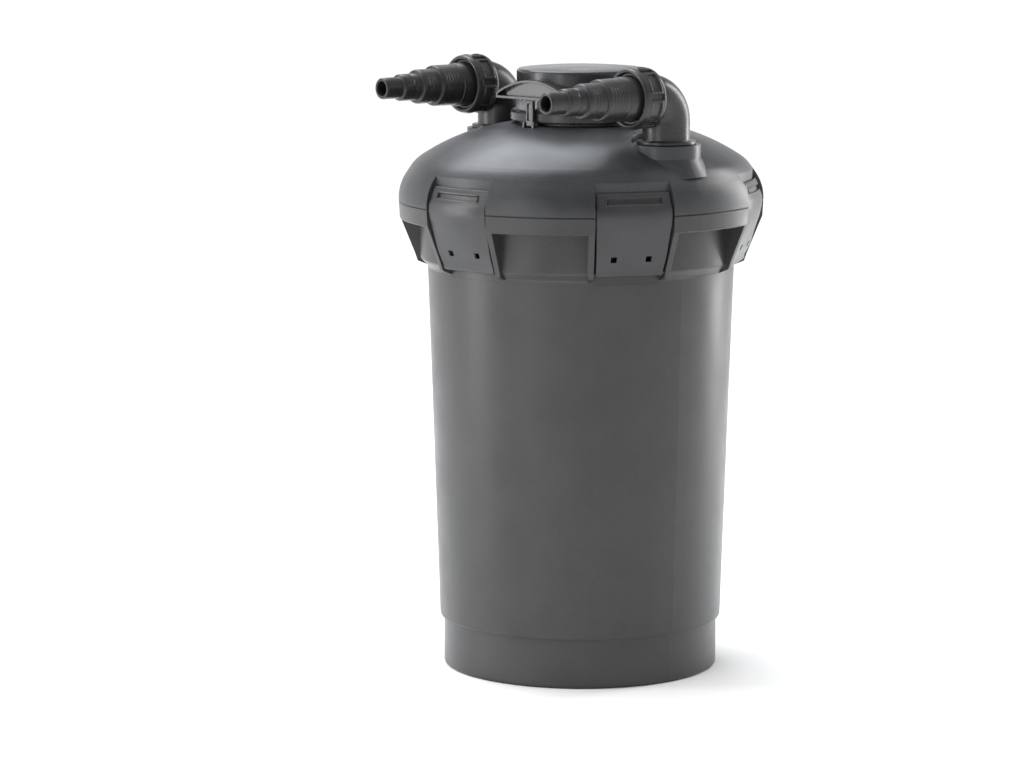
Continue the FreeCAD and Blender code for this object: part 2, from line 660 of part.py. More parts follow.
def make_lid():
    lid = Piece("lid")
    socket_outer = S["socket_radius"] + S["socket_wall"]
    lip_top = S["socket_lip_bottom"] + S["socket_lip_thick"]
    wall = S["lid_wall"]
    tongue_low = groove_floor + S["seal_section"]
    lid.revolve(
        [
            (S["band_radius"], S["seam_height"] + 0.8),
            (S["band_radius"], S["lid_brim"], S["brim_round"]),
            (S["shoulder_radius"], S["shoulder_height"], S["shoulder_round"]),
            (S["dome_foot_radius"], S["dome_foot_height"]),
            (S["dome_top_radius"], S["dome_top"]),
            (socket_outer, S["dome_top"] + 0.7),
            (socket_outer, S["socket_top"]),
            (S["socket_radius"], S["socket_top"]),
            (S["socket_radius"], lip_top),
            (S["socket_lip_radius"], lip_top),
            (S["socket_lip_radius"], S["socket_lip_bottom"]),
            (socket_outer, S["socket_lip_bottom"]),
            (socket_outer, S["dome_top"] + 0.7 - wall),
            (S["dome_top_radius"], S["dome_top"] - wall),
            (S["dome_foot_radius"] - wall * 0.55, S["dome_foot_height"] - wall * 0.85),
            (S["shoulder_radius"] - 4.5, S["shoulder_height"] - 2.4),
            (S["ledge_inner"] - wall, ledge_top + 14),
            (S["ledge_inner"] - wall, ledge_top + 3),
            (tank_inner_high + 2, S["seam_height"] + 2),
            (tank_inner_high + 2, S["seam_height"]),
            (groove_inner + S["tongue_play"], S["seam_height"]),
            (groove_inner + S["tongue_play"], tongue_low),
            (groove_outer - S["tongue_play"], tongue_low),
            (groove_outer - S["tongue_play"], S["seam_height"]),
            (S["band_radius"] - 0.8, S["seam_height"]),
        ],
        arcs={3: S["dome_curve"], 13: -(S["dome_curve"] - wall)},
    )
    # The uphill side of each port is let into the dome, so the dome is thick there.
    fill = lid.revolve(
        [
            (S["port_offset"] - S["port_radius"] - 6, S["port_top"] - 7),
            (S["port_offset"] - 13, S["port_top"] - 7),
            (S["port_offset"] - 13, S["port_top"] + 2.2),
            (S["port_offset"] - S["port_radius"] - 6, S["port_top"] + 8.4),
        ],
        angle=36,
    )
    boss = lid.round(
        "Pad",
        S["port_offset"],
        0,
        S["port_radius"],
        S["port_top"] - S["port_bottom"],
        offset=S["port_bottom"],
    )
    lean = S["skirt_slope"]
    skirt = lid.round(
        "Pad",
        S["port_offset"],
        0,
        S["port_radius"] + S["skirt_rise"] * lean.trig("tan"),
        S["skirt_rise"],
        offset=S["port_bottom"],
    )
    skirt.TaperAngle = -lean.value
    bind(skirt, "TaperAngle", -lean)
    lid.repeat([fill, boss, skirt], 2)
    seat = lid.round("Pocket", S["port_offset"], 0, S["port_radius"], 20, offset=S["port_top"])
    bore = lid.round(
        "Pocket",
        S["port_offset"],
        0,
        S["port_bore"],
        S["port_top"] - S["port_bottom"] + 2,
        offset=S["port_bottom"] - 1,
    )
    lid.repeat([seat, bore], 2)
    bay = lid.groove(
        [
            (S["ledge_outer"], S["seam_height"] - 1),
            (S["band_radius"] + 10, S["seam_height"] - 1),
            (S["band_radius"] + 10, S["shoulder_height"] + 6),
            (S["ledge_inner"], S["shoulder_height"] + 6),
            (S["ledge_inner"], ledge_top),
            (S["ledge_outer"], ledge_low),
        ],
        angle=bay_half * 2,
        turn=S["clamp_start"],
    )
    lid.repeat([bay], S["clamp_count"])
    way_in = lid.groove(
        ring(
            S["socket_lip_radius"] - 2,
            S["socket_radius"] - 0.1,
            S["socket_lip_bottom"] - 1,
            lip_top + 1,
        ),
        angle=(S["lug_half"] + 1.5) * 2,
        turn=S["lug_twist"],
    )
    lid.repeat([way_in], 3)
    lug_width = S["catch_width"] + (S["catch_side_gap"] + S["catch_lug_thick"]) * 2
    pin_at = (S["catch_pivot_radius"], S["catch_pivot_height"])
    across = {"plane": "XZ_Plane", "turn": S["clamp_start"], "both_ways": True}
    lid.pad(
        [
            (S["catch_pivot_radius"] - 5, S["dome_top"] - 3),
            (S["catch_pivot_radius"] + 4, S["dome_top"] - 4),
            (S["catch_pivot_radius"] + 3.2, S["catch_pivot_height"] + 2.8, 2),
            (S["flange_radius"] + 0.4, S["catch_pivot_height"] + 2.8),
            (S["flange_radius"] + 0.4, S["flange_bottom"] - 0.6),
            (S["catch_pivot_radius"] - 5, S["flange_bottom"] - 0.6),
        ],
        lug_width,
        **across,
    )
    slot = S["catch_width"] + S["catch_side_gap"] * 2
    lid.pocket(
        box(
            S["catch_inner"] - 0.9,
            S["catch_outer"] + 6,
            S["dome_top"] - 1.1,
            S["catch_pivot_height"] + 6,
        ),
        slot,
        **across,
    )
    lid.round("Pocket", *pin_at, S["catch_pin_radius"], lug_width + 1, **across)


def make_catch():
    catch = Piece("head_catch")
    across = {"plane": "XZ_Plane", "turn": S["clamp_start"], "both_ways": True}
    flange_top = window_bottom
    bottom = S["catch_pivot_height"] - 2.6
    catch.pad(
        [
            (S["catch_inner"], bottom, 1),
            (S["catch_outer"] + 0.6, bottom, 2),
            (S["catch_outer"], flange_top + 2),
            (S["catch_outer"] + 0.5, catch_top, 1),
            (S["catch_inner"] + 0.6, catch_top, 0.6),
            (S["catch_inner"], flange_top + 3.2),
            (S["flange_radius"] - 2.6, flange_top + 2.6, 0.6),
            (S["flange_radius"] - 2.6, flange_top + 0.4),
            (S["catch_inner"], flange_top + 0.4),
        ],
        S["catch_width"],
        **across,
    )
    catch.pocket(
        box(S["catch_outer"] - 0.9, S["catch_outer"] + 4, bottom + 6, catch_top - 2.6),
        S["catch_width"] - 3.2,
        **across,
    )
    catch.round(
        "Pocket",
        S["catch_pivot_radius"],
        S["catch_pivot_height"],
        S["catch_pin_radius"] + S["catch_play"],
        S["catch_width"] + 1,
        **across,
    )
    pin = Piece("catch_pin")
    pin.round(
        "Pad",
        S["catch_pivot_radius"],
        S["catch_pivot_height"],
        S["catch_pin_radius"],
        S["catch_width"] + (S["catch_side_gap"] + S["catch_lug_thick"]) * 2,
        **across,
    )


def make_elbow(side, sign):
    """The elbow, its seal and its retaining ring, on the +X or -X port."""
    at = {"x": S["port_offset"] * sign}
    seat = S["port_top"] + S["elbow_lift"]
    spigot = S["port_bore"] - S["elbow_play"]
    half_seal = S["elbow_seal_section"] / 2
    half_ring = S["retainer_thick"] / 2
    root = spigot - S["ring_groove_depth"]
    elbow = Piece(f"{side}_elbow")
    top_of_leg = S["nozzle_height"] - S["elbow_bend"]
    leg = elbow.round("Pad", 0, 0, S["elbow_radius"], top_of_leg - seat, offset=seat)
    pipe_bend(elbow, "AdditivePipe", S["elbow_radius"], top_of_leg)
    elbow.round(
        "Pad",
        0,
        S["nozzle_height"],
        S["elbow_radius"],
        S["elbow_end"] - S["elbow_bend"],
        plane="XZ_Plane",
        offset=S["elbow_bend"],
    )
    elbow.round(
        "Pad",
        0,
        S["nozzle_height"],
        S["elbow_collar_radius"],
        S["elbow_collar_length"],
        plane="XZ_Plane",
        offset=S["elbow_end"] - S["elbow_collar_length"],
    )
    elbow.revolve(
        [
            (0, S["elbow_bottom"]),
            (spigot, S["elbow_bottom"], 1),
            (spigot, S["retainer_height"] - half_ring),
            (root, S["retainer_height"] - half_ring),
            (root, S["retainer_height"] + half_ring),
            (spigot, S["retainer_height"] + half_ring),
            (spigot, S["elbow_seal_height"] - half_seal),
            (root, S["elbow_seal_height"] - half_seal),
            (root, S["elbow_seal_height"] + half_seal),
            (spigot, S["elbow_seal_height"] + half_seal),
            (spigot, seat),
            (S["elbow_foot_radius"], seat),
            (S["elbow_foot_radius"], seat + S["elbow_foot_thick"], 1),
            (S["elbow_radius"], seat + S["elbow_foot_thick"], 1),
            (S["elbow_radius"], seat + S["elbow_foot_thick"] + 3),
            (0, seat + S["elbow_foot_thick"] + 3),
        ]
    )
    elbow.round(
        "Pocket",
        0,
        0,
        S["elbow_bore"],
        top_of_leg - S["elbow_bottom"] + 1,
        offset=S["elbow_bottom"] - 1,
    )
    pipe_bend(elbow, "SubtractivePipe", S["elbow_bore"], top_of_leg)
    elbow.round(
        "Pocket",
        0,
        S["nozzle_height"],
        S["elbow_bore"],
        S["elbow_end"] - S["elbow_bend"] + 1,
        plane="XZ_Plane",
        offset=S["elbow_bend"],
    )
    elbow.place(**at)
    seal = Piece(f"{side}_elbow_seal")
    torus_section(seal, root + half_seal, S["elbow_seal_height"], S["elbow_seal_section"])
    seal.place(**at)
    retainer = Piece(f"{side}_retaining_ring")
    low = S["retainer_height"] - half_ring
    retainer.revolve(ring(root, S["retainer_radius"], low, low + S["retainer_thick"]))
    gap = box(0, S["retainer_radius"] + 5, -4, 4)
    retainer.pocket(gap, S["retainer_thick"] + 2, offset=low - 1)
    retainer.place(**at)


def pipe_bend(elbow, kind, radius, height):
    """The quarter bend from the upright leg into the nozzle."""
    path = elbow.sketch("YZ_Plane")
    bend = S["elbow_bend"]
    centre = Vector(-bend.value, height.value, 0)
    start = Vector(0, height.value, 0)
    end = Vector(-bend.value, height.value + bend.value, 0)
    arc = path.addGeometry(arc_between(centre, start, end))
    locate(path, arc, 3, -bend, height)
    locate(path, arc, 1, 0, height)
    path.addConstraint(Sketcher.Constraint("Vertical", arc, 3, arc, 2))
    section = elbow.sketch("XY_Plane", offset=height)
    circle = section.addGeometry(Part.Circle(Vector(0, 0, 0), Vector(0, 0, 1), radius.value))
    locate(section, circle, 3, 0, 0)
    set_radius(section, circle, radius)
    pipe = elbow.body.newObject(f"PartDesign::{kind}", f"{elbow.name}_bend")
    pipe.Profile = section
    pipe.Spine = (path, ["Edge1"])


def make_hose_tail(side, sign):
    """Hose tail, gasket and union nut, drawn along Z and then laid along -Y."""
    at = {
        "x": S["port_offset"] * sign,
        "z": S["nozzle_height"],
        "axis": Vector(1, 0, 0),
        "angle": 90,
    }
    gasket_low = S["elbow_end"]
    flange_low = gasket_low + S["gasket_thick"]
    flange_high = flange_low + S["tail_flange_thick"]
    wall, taper = S["tail_wall"], S["tail_taper"]
    gasket = Piece(f"{side}_gasket")
    gasket.revolve(ring(S["elbow_bore"] + 1, S["tail_flange_radius"], gasket_low, flange_low))
    gasket.place(**at)
    tail = Piece(f"{side}_hose_tail")
    radii = [S["step_one_radius"], S["step_two_radius"], S["step_three_radius"], S["step_four_radius"]]
    ends = [S["step_one_end"], S["step_two_end"], S["step_three_end"], S["step_four_end"]]
    tip = S["step_four_end"]
    tail.revolve(
        [
            (S["elbow_bore"], flange_low),
            (S["tail_flange_radius"], flange_low),
            (S["tail_flange_radius"], flange_high),
            (S["tail_neck_radius"], flange_high),
            (S["tail_neck_radius"], S["tail_neck_end"], 0.6),
            (radii[0], S["tail_neck_end"], 0.4),
            (radii[0], ends[0] - 1.4),
            (radii[0] - 1.4, ends[0]),
            (radii[1], ends[0], 0.6),
            (radii[1], ends[1] - 1.4),
            (radii[1] - 1.4, ends[1]),
            (radii[2], ends[1], 0.6),
            (radii[2], ends[2] - 1),
            (radii[2] - 1, ends[2]),
            (radii[3], ends[2], 0.5),
            (radii[3], tip - 1),
            (radii[3] - 1, tip),
            (radii[3] - wall, tip),
            (radii[3] - wall, ends[2] - taper),
            (radii[2] - wall, ends[2] - taper * 2),
            (radii[2] - wall, ends[1] - taper),
            (radii[1] - wall, ends[1] - taper * 2),
            (radii[1] - wall, ends[0] - taper),
            (S["elbow_bore"], ends[0] - taper * 2),
        ]
    )
    for radius, end in ((radii[0], ends[0]), (radii[1], ends[1])):
        tail.groove(ring(radius - 0.7, radius + 1, end - 6.4, end - 4.8))
    tail.place(**at)
    nut = Piece(f"{side}_union_nut")
    shoulder_low = flange_high + 0.1
    shoulder_high = shoulder_low + S["nut_shoulder_thick"]
    nut.revolve(
        [
            (S["nut_thread_radius"], S["nut_start"]),
            (S["nut_radius"] - 0.4, S["nut_start"], 0.6),
            (S["nut_radius"], S["nut_start"] + 3),
            (S["nut_radius"], S["nut_end"] - S["nut_lip"], 0.5),
            (S["nut_radius"] - 0.8, S["nut_end"], 0.8),
            (S["nut_mouth_radius"], S["nut_end"]),
            (S["nut_mouth_radius"] - 0.8, shoulder_high),
            (S["nut_hole_radius"], shoulder_high, 0.6),
            (S["nut_hole_radius"], shoulder_low),
            (S["nut_thread_radius"], shoulder_low),
        ]
    )
    slot = nut.pocket(
        box(
            S["nut_radius"] - S["nut_slot_depth"],
            S["nut_radius"] + 3,
            -S["nut_slot_width"] / 2,
            S["nut_slot_width"] / 2,
        ),
        S["nut_end"] - S["nut_lip"] - S["nut_start"] + 1,
        offset=S["nut_start"] - 1,
    )
    nut.repeat([slot], S["nut_pads"])
    window = nut.pocket(
        box(-7.4, 7.4, S["nut_start"] + 3.4, S["nut_end"] - S["nut_lip"] - 2),
        3,
        plane="YZ_Plane",
        offset=S["nut_radius"] - 1.5,
        turn=size(180) / S["nut_pads"],
    )
    nut.repeat([window], S["nut_pads"])
    nut.place(**at)


def make_head_base():
    base = Piece("head_base")
    half_seal = S["head_seal_section"] / 2
    seal_root = spigot_radius - S["head_seal_section"] + S["spigot_play"] - 0.05
    inner = spigot_radius - S["spigot_wall"]
    floor_top = S["base_floor"] + S["base_floor_thick"]
    lug_skirt_inner = lug_spigot_radius - 3.6
    base.revolve(
        [
            (S["sleeve_radius"] + 0.4, S["stub_bottom"]),
            (S["stub_radius"], S["stub_bottom"]),
            (S["stub_radius"], S["base_floor"]),
            (lug_skirt_inner, S["base_floor"]),
            (lug_skirt_inner, S["base_floor"] - 9),
            (lug_spigot_radius, S["base_floor"] - 9),
            (lug_spigot_radius, floor_top),
            (spigot_radius, floor_top),
            (spigot_radius, S["head_seal_height"] - half_seal),
            (seal_root, S["head_seal_height"] - half_seal),
            (seal_root, S["head_seal_height"] + half_seal),
            (spigot_radius, S["head_seal_height"] + half_seal),
            (spigot_radius, S["flange_bottom"]),
            (S["flange_radius"], S["flange_bottom"], 1.5),
            (S["flange_radius"], window_bottom, 2.5),
            (upstand_radius, window_bottom),
            (upstand_radius, window_top - 1),
            (upstand_radius - 3, window_top - 1),
            (upstand_radius - 3, S["flange_bottom"] + 4),
            (inner, S["flange_bottom"] + 4),
            (inner, floor_top),
            (S["sleeve_radius"] + 0.4, floor_top),
        ]
    )
    lug_top = S["socket_lip_bottom"] - 0.5
    lug = base.revolve(
        ring(lug_spigot_radius - 1, S["socket_radius"] - 0.6, lug_top - 4, lug_top),
        angle=S["lug_half"] * 2,
    )
    base.repeat([lug], 3)
    seal = Piece("head_seal")
    torus_section(seal, seal_root + half_seal, S["head_seal_height"], S["head_seal_section"])


def make_head_cover():
    window = Piece("indicator_window")
    window.revolve(
        [
            (upstand_radius + 0.1, window_bottom),
            (S["head_radius"] + 0.4, window_bottom),
            (S["head_radius"] + 0.4, window_top),
            (upstand_radius + 0.1, window_top),
        ]
    )
    cover = Piece("head_cover")
    inner = S["head_radius"] - S["head_wall"]
    cover.revolve(
        [
            (0, window_top),
            (S["head_radius"], window_top),
            (S["head_radius"], S["head_side_top"], 3),
            (S["head_radius"] - 14, S["head_top"] - 0.2, 12),
            (0, S["head_top"]),
        ]
    )
    side = {"plane": "YZ_Plane", "turn": S["clamp_start"]}
    half = S["ear_half_width"]
    shoulder = window_top + S["ear_side"]
    ear = cover.pad(
        [(-half, window_top), (half, window_top), (half, shoulder), (-half, shoulder)],
        S["ear_reach"] - S["head_radius"] + 21,
        offset=S["head_radius"] - 21,
        arcs={2: S["ear_curve"]},
        **side,
    )
    cover.repeat([ear], 2)
    rim = S["ear_rim"]
    recess = cover.pocket(
        [
            (rim - half, window_top + rim),
            (half - rim, window_top + rim),
            (half - rim, shoulder - rim * 0.5),
            (rim - half, shoulder - rim * 0.5),
        ],
        S["ear_recess"] * 2,
        offset=S["ear_reach"] - S["ear_recess"],
        arcs={2: S["ear_curve"] - rim},
        **side,
    )
    cover.repeat([recess], 2)
    cover.groove(
        [
            (0, window_top - 1),
            (inner, window_top - 1),
            (inner, S["head_side_top"] - S["head_wall"]),
            (S["head_radius"] - 14, S["head_top"] - 0.2 - S["head_wall"]),
            (0, S["head_top"] - S["head_wall"]),
        ]
    )
    cover.round(
        "Pocket",
        0,
        S["gland_height"],
        S["gland_radius"] - 1.4,
        S["head_radius"] + 5,
        plane="XZ_Plane",
        turn=S["gland_turn"] + 90,
    )


def make_gland():
    """The gland is drawn along Z and then laid out from the cover's wall."""
    gland = Piece("cable_gland")
    wall = S["head_radius"] - S["head_wall"]
    gland.revolve(
        [
            (S["gland_bore"], wall - 4),
            (S["gland_radius"] - 1.4, wall - 4),
            (S["gland_radius"] - 1.4, S["head_radius"] + 0.4),
            (S["gland_radius"], S["head_radius"] + 0.4, 0.4),
            (S["gland_radius"], S["head_radius"] + 6, 0.6),
            (S["gland_radius"] - 1.6, S["head_radius"] + 7),
            (S["gland_bore"] + 1.8, S["head_radius"] + 20, 0.6),
            (S["gland_bore"], S["head_radius"] + 20),
        ]
    )
    turn = S["gland_turn"]
    lean = Rotation(Vector(0, 0, 1), turn.value) * Rotation(Vector(0, 1, 0), 90)
    gland.body.Placement = Placement(Vector(0, 0, S["gland_height"].value), lean)
    bind(gland.body, "Placement.Base.z", S["gland_height"])


def make_lamp():
    sleeve = Piece("quartz_sleeve")
    inner = S["sleeve_radius"] - S["sleeve_wall"]
    sleeve.revolve(
        [
            (0, S["sleeve_bottom"]),
            (S["sleeve_radius"], S["sleeve_bottom"], 8),
            (S["sleeve_radius"], S["sleeve_top"]),
            (inner, S["sleeve_top"]),
            (inner, S["sleeve_bottom"] + S["sleeve_wall"], 7),
            (0, S["sleeve_bottom"] + S["sleeve_wall"]),
        ]
    )
    seal = Piece("sleeve_seal")
    seal_height = S["stub_bottom"] - 1.6
    torus_section(seal, S["sleeve_radius"] + 1.6, seal_height, 3)
    nut = Piece("sleeve_nut")
    nut_low = S["stub_bottom"] - 6
    nut.revolve(
        [
            (S["sleeve_radius"] + 0.4, nut_low),
            (S["tube_radius"] - S["tube_wall"] - 0.4, nut_low),
            (S["tube_radius"] - S["tube_wall"] - 0.4, S["stub_bottom"] + 7),
            (S["stub_radius"] + 0.1, S["stub_bottom"] + 7),
            (S["stub_radius"] + 0.1, S["stub_bottom"] - 3.2),
            (S["sleeve_radius"] + 0.4, S["stub_bottom"] - 3.2),
        ]
    )
    holder = Piece("lamp_holder")
    floor_top = S["base_floor"] + S["base_floor_thick"]
    holder.revolve(
        [
            (0, floor_top + 3),
            (S["sleeve_radius"] + 2, floor_top + 3),
            (S["sleeve_radius"] + 2, floor_top),
            (S["sleeve_radius"] + 4, floor_top),
            (S["sleeve_radius"] + 4, floor_top + 8),
            (0, floor_top + 8),
        ]
    )
    socket = Piece("lamp_base")
    socket.round(
        "Pad", 0, 0, inner - 1, floor_top + 3 - S["lamp_base_bottom"], offset=S["lamp_base_bottom"]
    )
    lamp = Piece("lamp_tube")
    legs = S["lamp_base_bottom"] - S["lamp_bottom"]
    for side in (-1, 1):
        where = S["lamp_leg_spread"] * side
        lamp.round("Pad", where, 0, S["lamp_leg_radius"], legs, offset=S["lamp_bottom"])
        if side < 0:
            lamp.round(
                "Pad",
                0,
                S["lamp_bottom"] + S["lamp_leg_radius"] + 4,
                S["lamp_leg_radius"] - 2,
                S["lamp_leg_spread"] * 2,
                plane="YZ_Plane",
                offset=-S["lamp_leg_spread"],
            )
    ballast = Piece("ballast")
    ballast.pad(
        [(-24, 21, 2), (24, 21, 2), (24, 38, 2), (-24, 38, 2)],
        S["window_height"] + 12,
        offset=floor_top,
    )


def make_filter_stack():
    grid = Piece("bottom_grid")
    grid_radius = tank_inner_low - S["grid_play"]
    grid.revolve(ring(chamber_hole, grid_radius, grid_bottom, foam_bottom))
    cut_grid(grid, grid_bottom, grid_radius)
    tube = Piece("chamber_tube")
    tube_inner = S["tube_radius"] - S["tube_wall"]
    tube.revolve(ring(tube_inner, S["tube_radius"], S["tank_floor"] + 1, S["tube_top"]))
    slots = tube.pocket(
        box(-5, 5, S["tank_floor"] + 7, S["foot_height"] - 8),
        S["tube_wall"] + 4,
        plane="YZ_Plane",
        offset=tube_inner - 2,
    )
    tube.repeat([slots], 6)
    inside = S["duct_half_width"] - S["duct_wall"] - 3
    tube.pocket(
        box(-inside, inside, duct_low + S["duct_wall"], duct_top - S["duct_wall"]),
        S["tube_radius"] / 2,
        plane="YZ_Plane",
        offset=-(S["tube_radius"] + 1),
    )
    grades = ["coarse", "coarse", "medium", "fine"]
    for number in range(int(S["foam_count"].value)):
        low = foam_bottom + S["foam_height"] * number
        foam = Piece(f"foam_{number + 1}_{grades[number % len(grades)]}")
        outer = wall_inside(low) - S["foam_play"]
        foam.revolve(ring(chamber_hole, outer, low, low + S["foam_height"]))
    lid_grid = Piece("top_grid")
    top_radius = tank_inner_high - S["grid_play"]
    lid_grid.revolve(ring(chamber_hole, top_radius, foam_top, foam_top + S["grid_thick"]))
    cut_grid(lid_grid, foam_top, top_radius)


def cut_grid(grid, low, radius):
    """Two rings of slots through a grid."""
    for inner, outer, half in ((36, 74, 7), (82, 116, 16)):
        slot = grid.pocket(
            box(inner, radius - (128 - outer), -half / 2, half / 2),
            S["grid_thick"] + 2,
            offset=low - 1,
        )
        grid.repeat([slot], 12)


def make_outlet_duct():
    """A flat duct under the lid, from a window in the chamber tube to the outlet port."""
    duct = Piece("outlet_duct")
    wall = S["duct_wall"]
    half = S["duct_half_width"]
    far = -(S["port_offset"] + half)
    near = -S["tube_radius"] / 2
    duct.pad(
        [(far, -half, 20), (near, -half), (near, half), (far, half, 20)],
        S["duct_height"],
        offset=duct_low,
    )
    inside = half - wall
    duct.pocket(
        [(far + wall, -inside, 17), (near + 1, -inside), (near + 1, inside), (far + wall, inside, 17)],
        S["duct_height"] - wall * 2,
        offset=duct_low + wall,
    )
    duct.round("Pad", -S["port_offset"], 0, half, S["port_bottom"] - duct_top, offset=duct_top)
    duct.round(
        "Pocket",
        -S["port_offset"],
        0,
        S["retainer_radius"] + 0.4,
        S["port_bottom"] - duct_top + wall + 2,
        offset=duct_top - wall - 1,
    )
    duct.round("Pocket", 0, 0, S["tube_radius"], S["duct_height"] + 4, offset=duct_low - 2)


def build():
    make_tank()
    make_lid_seal()
    for number in range(1, int(S["clamp_count"].value) + 1):
        make_clamp(number)
    make_lid()
    make_catch()
    for side, sign in (("inlet", 1), ("outlet", -1)):
        make_elbow(side, sign)
        make_hose_tail(side, sign)
    make_head_base()
    make_head_cover()
    make_gland()
    make_lamp()
    make_filter_stack()
    make_outlet_duct()
    doc.recompute()


def check():
    """Stop if an object failed, a shape is empty or invalid, or a cut removed nothing."""
    for item in doc.Objects:
        if {"Invalid", "Error"} & set(item.State):
            raise RuntimeError(f"{item.Label} failed: {item.State}")
        if item.TypeId in ("PartDesign::Pocket", "PartDesign::Groove"):
            if item.Shape.Volume > item.BaseFeature.Shape.Volume - 0.01:
                raise RuntimeError(f"{item.Label} cuts nothing")
    for piece in pieces:
        shape = piece.body.Shape
        if shape.isNull() or not shape.isValid() or shape.Volume <= 0:
            raise RuntimeError(f"{piece.name} has no valid solid")


def write_parts():
    os.makedirs("parts", exist_ok=True)
    for piece in pieces:
        piece.body.Shape.exportStep(f"parts/{piece.name}.step")
        solids = len(piece.body.Shape.Solids)
        print(f"{piece.name}: {piece.body.Shape.Volume / 1000:.1f} cm3, {solids} solid(s)")


build()
check()
write_parts()
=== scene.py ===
# %% [markdown]
# # A pressurised pond filter
# The filter is a round tank with a domed lid, six clamps, a twist-off
# ultraviolet head and two nozzles with union nuts and stepped hose tails.
# The solid model is loaded first as a frame that never moves. Everything made
# here is in metres and in the same place as that frame, so a piece needs no
# fitting: it reads where its neighbours are and is built there.

# %% Load the solid model
import math

import bmesh
import bpy
from mathutils import Matrix, Vector


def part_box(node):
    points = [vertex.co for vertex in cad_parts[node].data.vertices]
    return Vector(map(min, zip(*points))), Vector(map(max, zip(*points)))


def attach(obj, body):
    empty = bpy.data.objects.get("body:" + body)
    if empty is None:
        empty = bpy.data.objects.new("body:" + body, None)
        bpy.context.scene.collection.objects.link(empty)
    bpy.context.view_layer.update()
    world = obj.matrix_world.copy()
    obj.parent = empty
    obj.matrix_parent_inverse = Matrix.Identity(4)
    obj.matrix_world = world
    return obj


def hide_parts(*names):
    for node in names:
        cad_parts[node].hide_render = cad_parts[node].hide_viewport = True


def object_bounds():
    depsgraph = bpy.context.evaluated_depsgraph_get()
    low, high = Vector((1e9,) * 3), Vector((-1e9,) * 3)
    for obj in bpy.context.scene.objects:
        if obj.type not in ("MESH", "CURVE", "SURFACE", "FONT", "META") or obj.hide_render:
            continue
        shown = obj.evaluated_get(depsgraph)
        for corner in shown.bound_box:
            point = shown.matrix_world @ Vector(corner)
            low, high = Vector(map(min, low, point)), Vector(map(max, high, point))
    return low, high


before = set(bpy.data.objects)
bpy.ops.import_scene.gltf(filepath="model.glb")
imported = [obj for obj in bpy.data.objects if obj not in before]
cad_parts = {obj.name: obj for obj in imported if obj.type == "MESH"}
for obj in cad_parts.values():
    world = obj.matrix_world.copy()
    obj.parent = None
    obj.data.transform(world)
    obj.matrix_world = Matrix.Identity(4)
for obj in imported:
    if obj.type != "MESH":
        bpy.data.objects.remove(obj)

solid_box = [list(corner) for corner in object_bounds()]
LOW, HIGH = (Vector(corner) for corner in solid_box)
SIZE = HIGH - LOW
print("solid model:", [round(side * 1000) for side in SIZE], "mm")

# %% [markdown]
# ## Camera
# The filter is looked at from well back with a long lens, a little above the
# lid's seam, so the upright wall stays upright and the lid shows as a shallow
# oval. A long lens far away flattens perspective more than a short one near by.

# %% Camera
lens = bpy.data.cameras.new("studio_camera")
camera = bpy.data.objects.new("studio_camera", lens)
bpy.context.scene.collection.objects.link(camera)
lens.lens = 137.5
lens.sensor_width = 36
camera.location = (2.784, -2.336, 0.807)
camera.rotation_euler = [math.radians(angle) for angle in (81.5, 0, 51.015)]
bpy.context.scene.camera = camera
print("camera:", round(camera.location.length, 2), "m away")

# %% [markdown]
# ## Floor
# A product stands on a sheet of paper that has no edge in view. A wide disc is
# enough, because the world behind it has the same pale colour.

# %% Floor
def mesh_object(name, form, smooth=True):
    """Turn a finished bmesh into an object at the origin."""
    mesh = bpy.data.meshes.new(name)
    form.to_mesh(mesh)
    form.free()
    for face in mesh.polygons:
        face.use_smooth = smooth
    made = bpy.data.objects.new(name, mesh)
    bpy.context.scene.collection.objects.link(made)
    return made


FLOOR_REACH = 14
form = bmesh.new()
bmesh.ops.create_circle(form, cap_ends=True, segments=96, radius=FLOOR_REACH)
floor = mesh_object("floor", form, smooth=False)
print("floor:", FLOOR_REACH * 2, "m across")

# %% [markdown]
# ## Light
# Dark satin plastic shows what it reflects more than its own colour. A broad
# panel above and behind gives the lid its long soft sheen. Tall panels at the
# left and behind at the right draw the bright lines down the tank's sides.
# Soft daylight keeps the floor white right out to the horizon. It is left out
# of reflections, or it would wash out the dark plastic.

# %% Light
AIM = Vector((0, 0, HIGH.z * 0.6))


def panel(name, azimuth, height, distance, size, power, colour=(1, 1, 1)):
    """A light panel round the filter; azimuth 0 is the camera's side, 90 its right."""
    data = bpy.data.lights.new(name, "AREA")
    data.shape = "RECTANGLE"
    data.size, data.size_y = size
    data.energy = power
    data.color = colour
    made = bpy.data.objects.new(name, data)
    bpy.context.scene.collection.objects.link(made)
    front = math.atan2(camera.location.y, camera.location.x)
    turn = front + math.radians(azimuth)
    made.location = (math.cos(turn) * distance, math.sin(turn) * distance, height)
    made.rotation_euler = (AIM - made.location).to_track_quat("-Z", "Y").to_euler()
    return made


panel("lid_sheen_panel", -146, 2.7, 1.5, (2.2, 1.7), 56, (0.90, 0.95, 1.0))
panel("left_panel", -82, 0.8, 2.2, (0.5, 2.2), 24)
panel("front_left_panel", -40, 0.9, 3.4, (0.7, 2.6), 16)
panel("right_panel", 122, 0.9, 2.2, (0.62, 2.2), 36)
soft_sun = bpy.data.lights.new("soft_daylight", "SUN")
soft_sun.energy = 2.7
soft_sun.angle = math.radians(75)
daylight = bpy.data.objects.new("soft_daylight", soft_sun)
bpy.context.scene.collection.objects.link(daylight)
daylight.rotation_euler = (math.radians(14), math.radians(-12), 0)
daylight.visible_glossy = False

# %% [markdown]
# ## The room around it
# The room is what the plastic reflects, so it isn't one even tone. It is white
# near the horizon and dimmer overhead, and darker towards the front, which is
# what makes the middle of the tank dark between its bright sides.

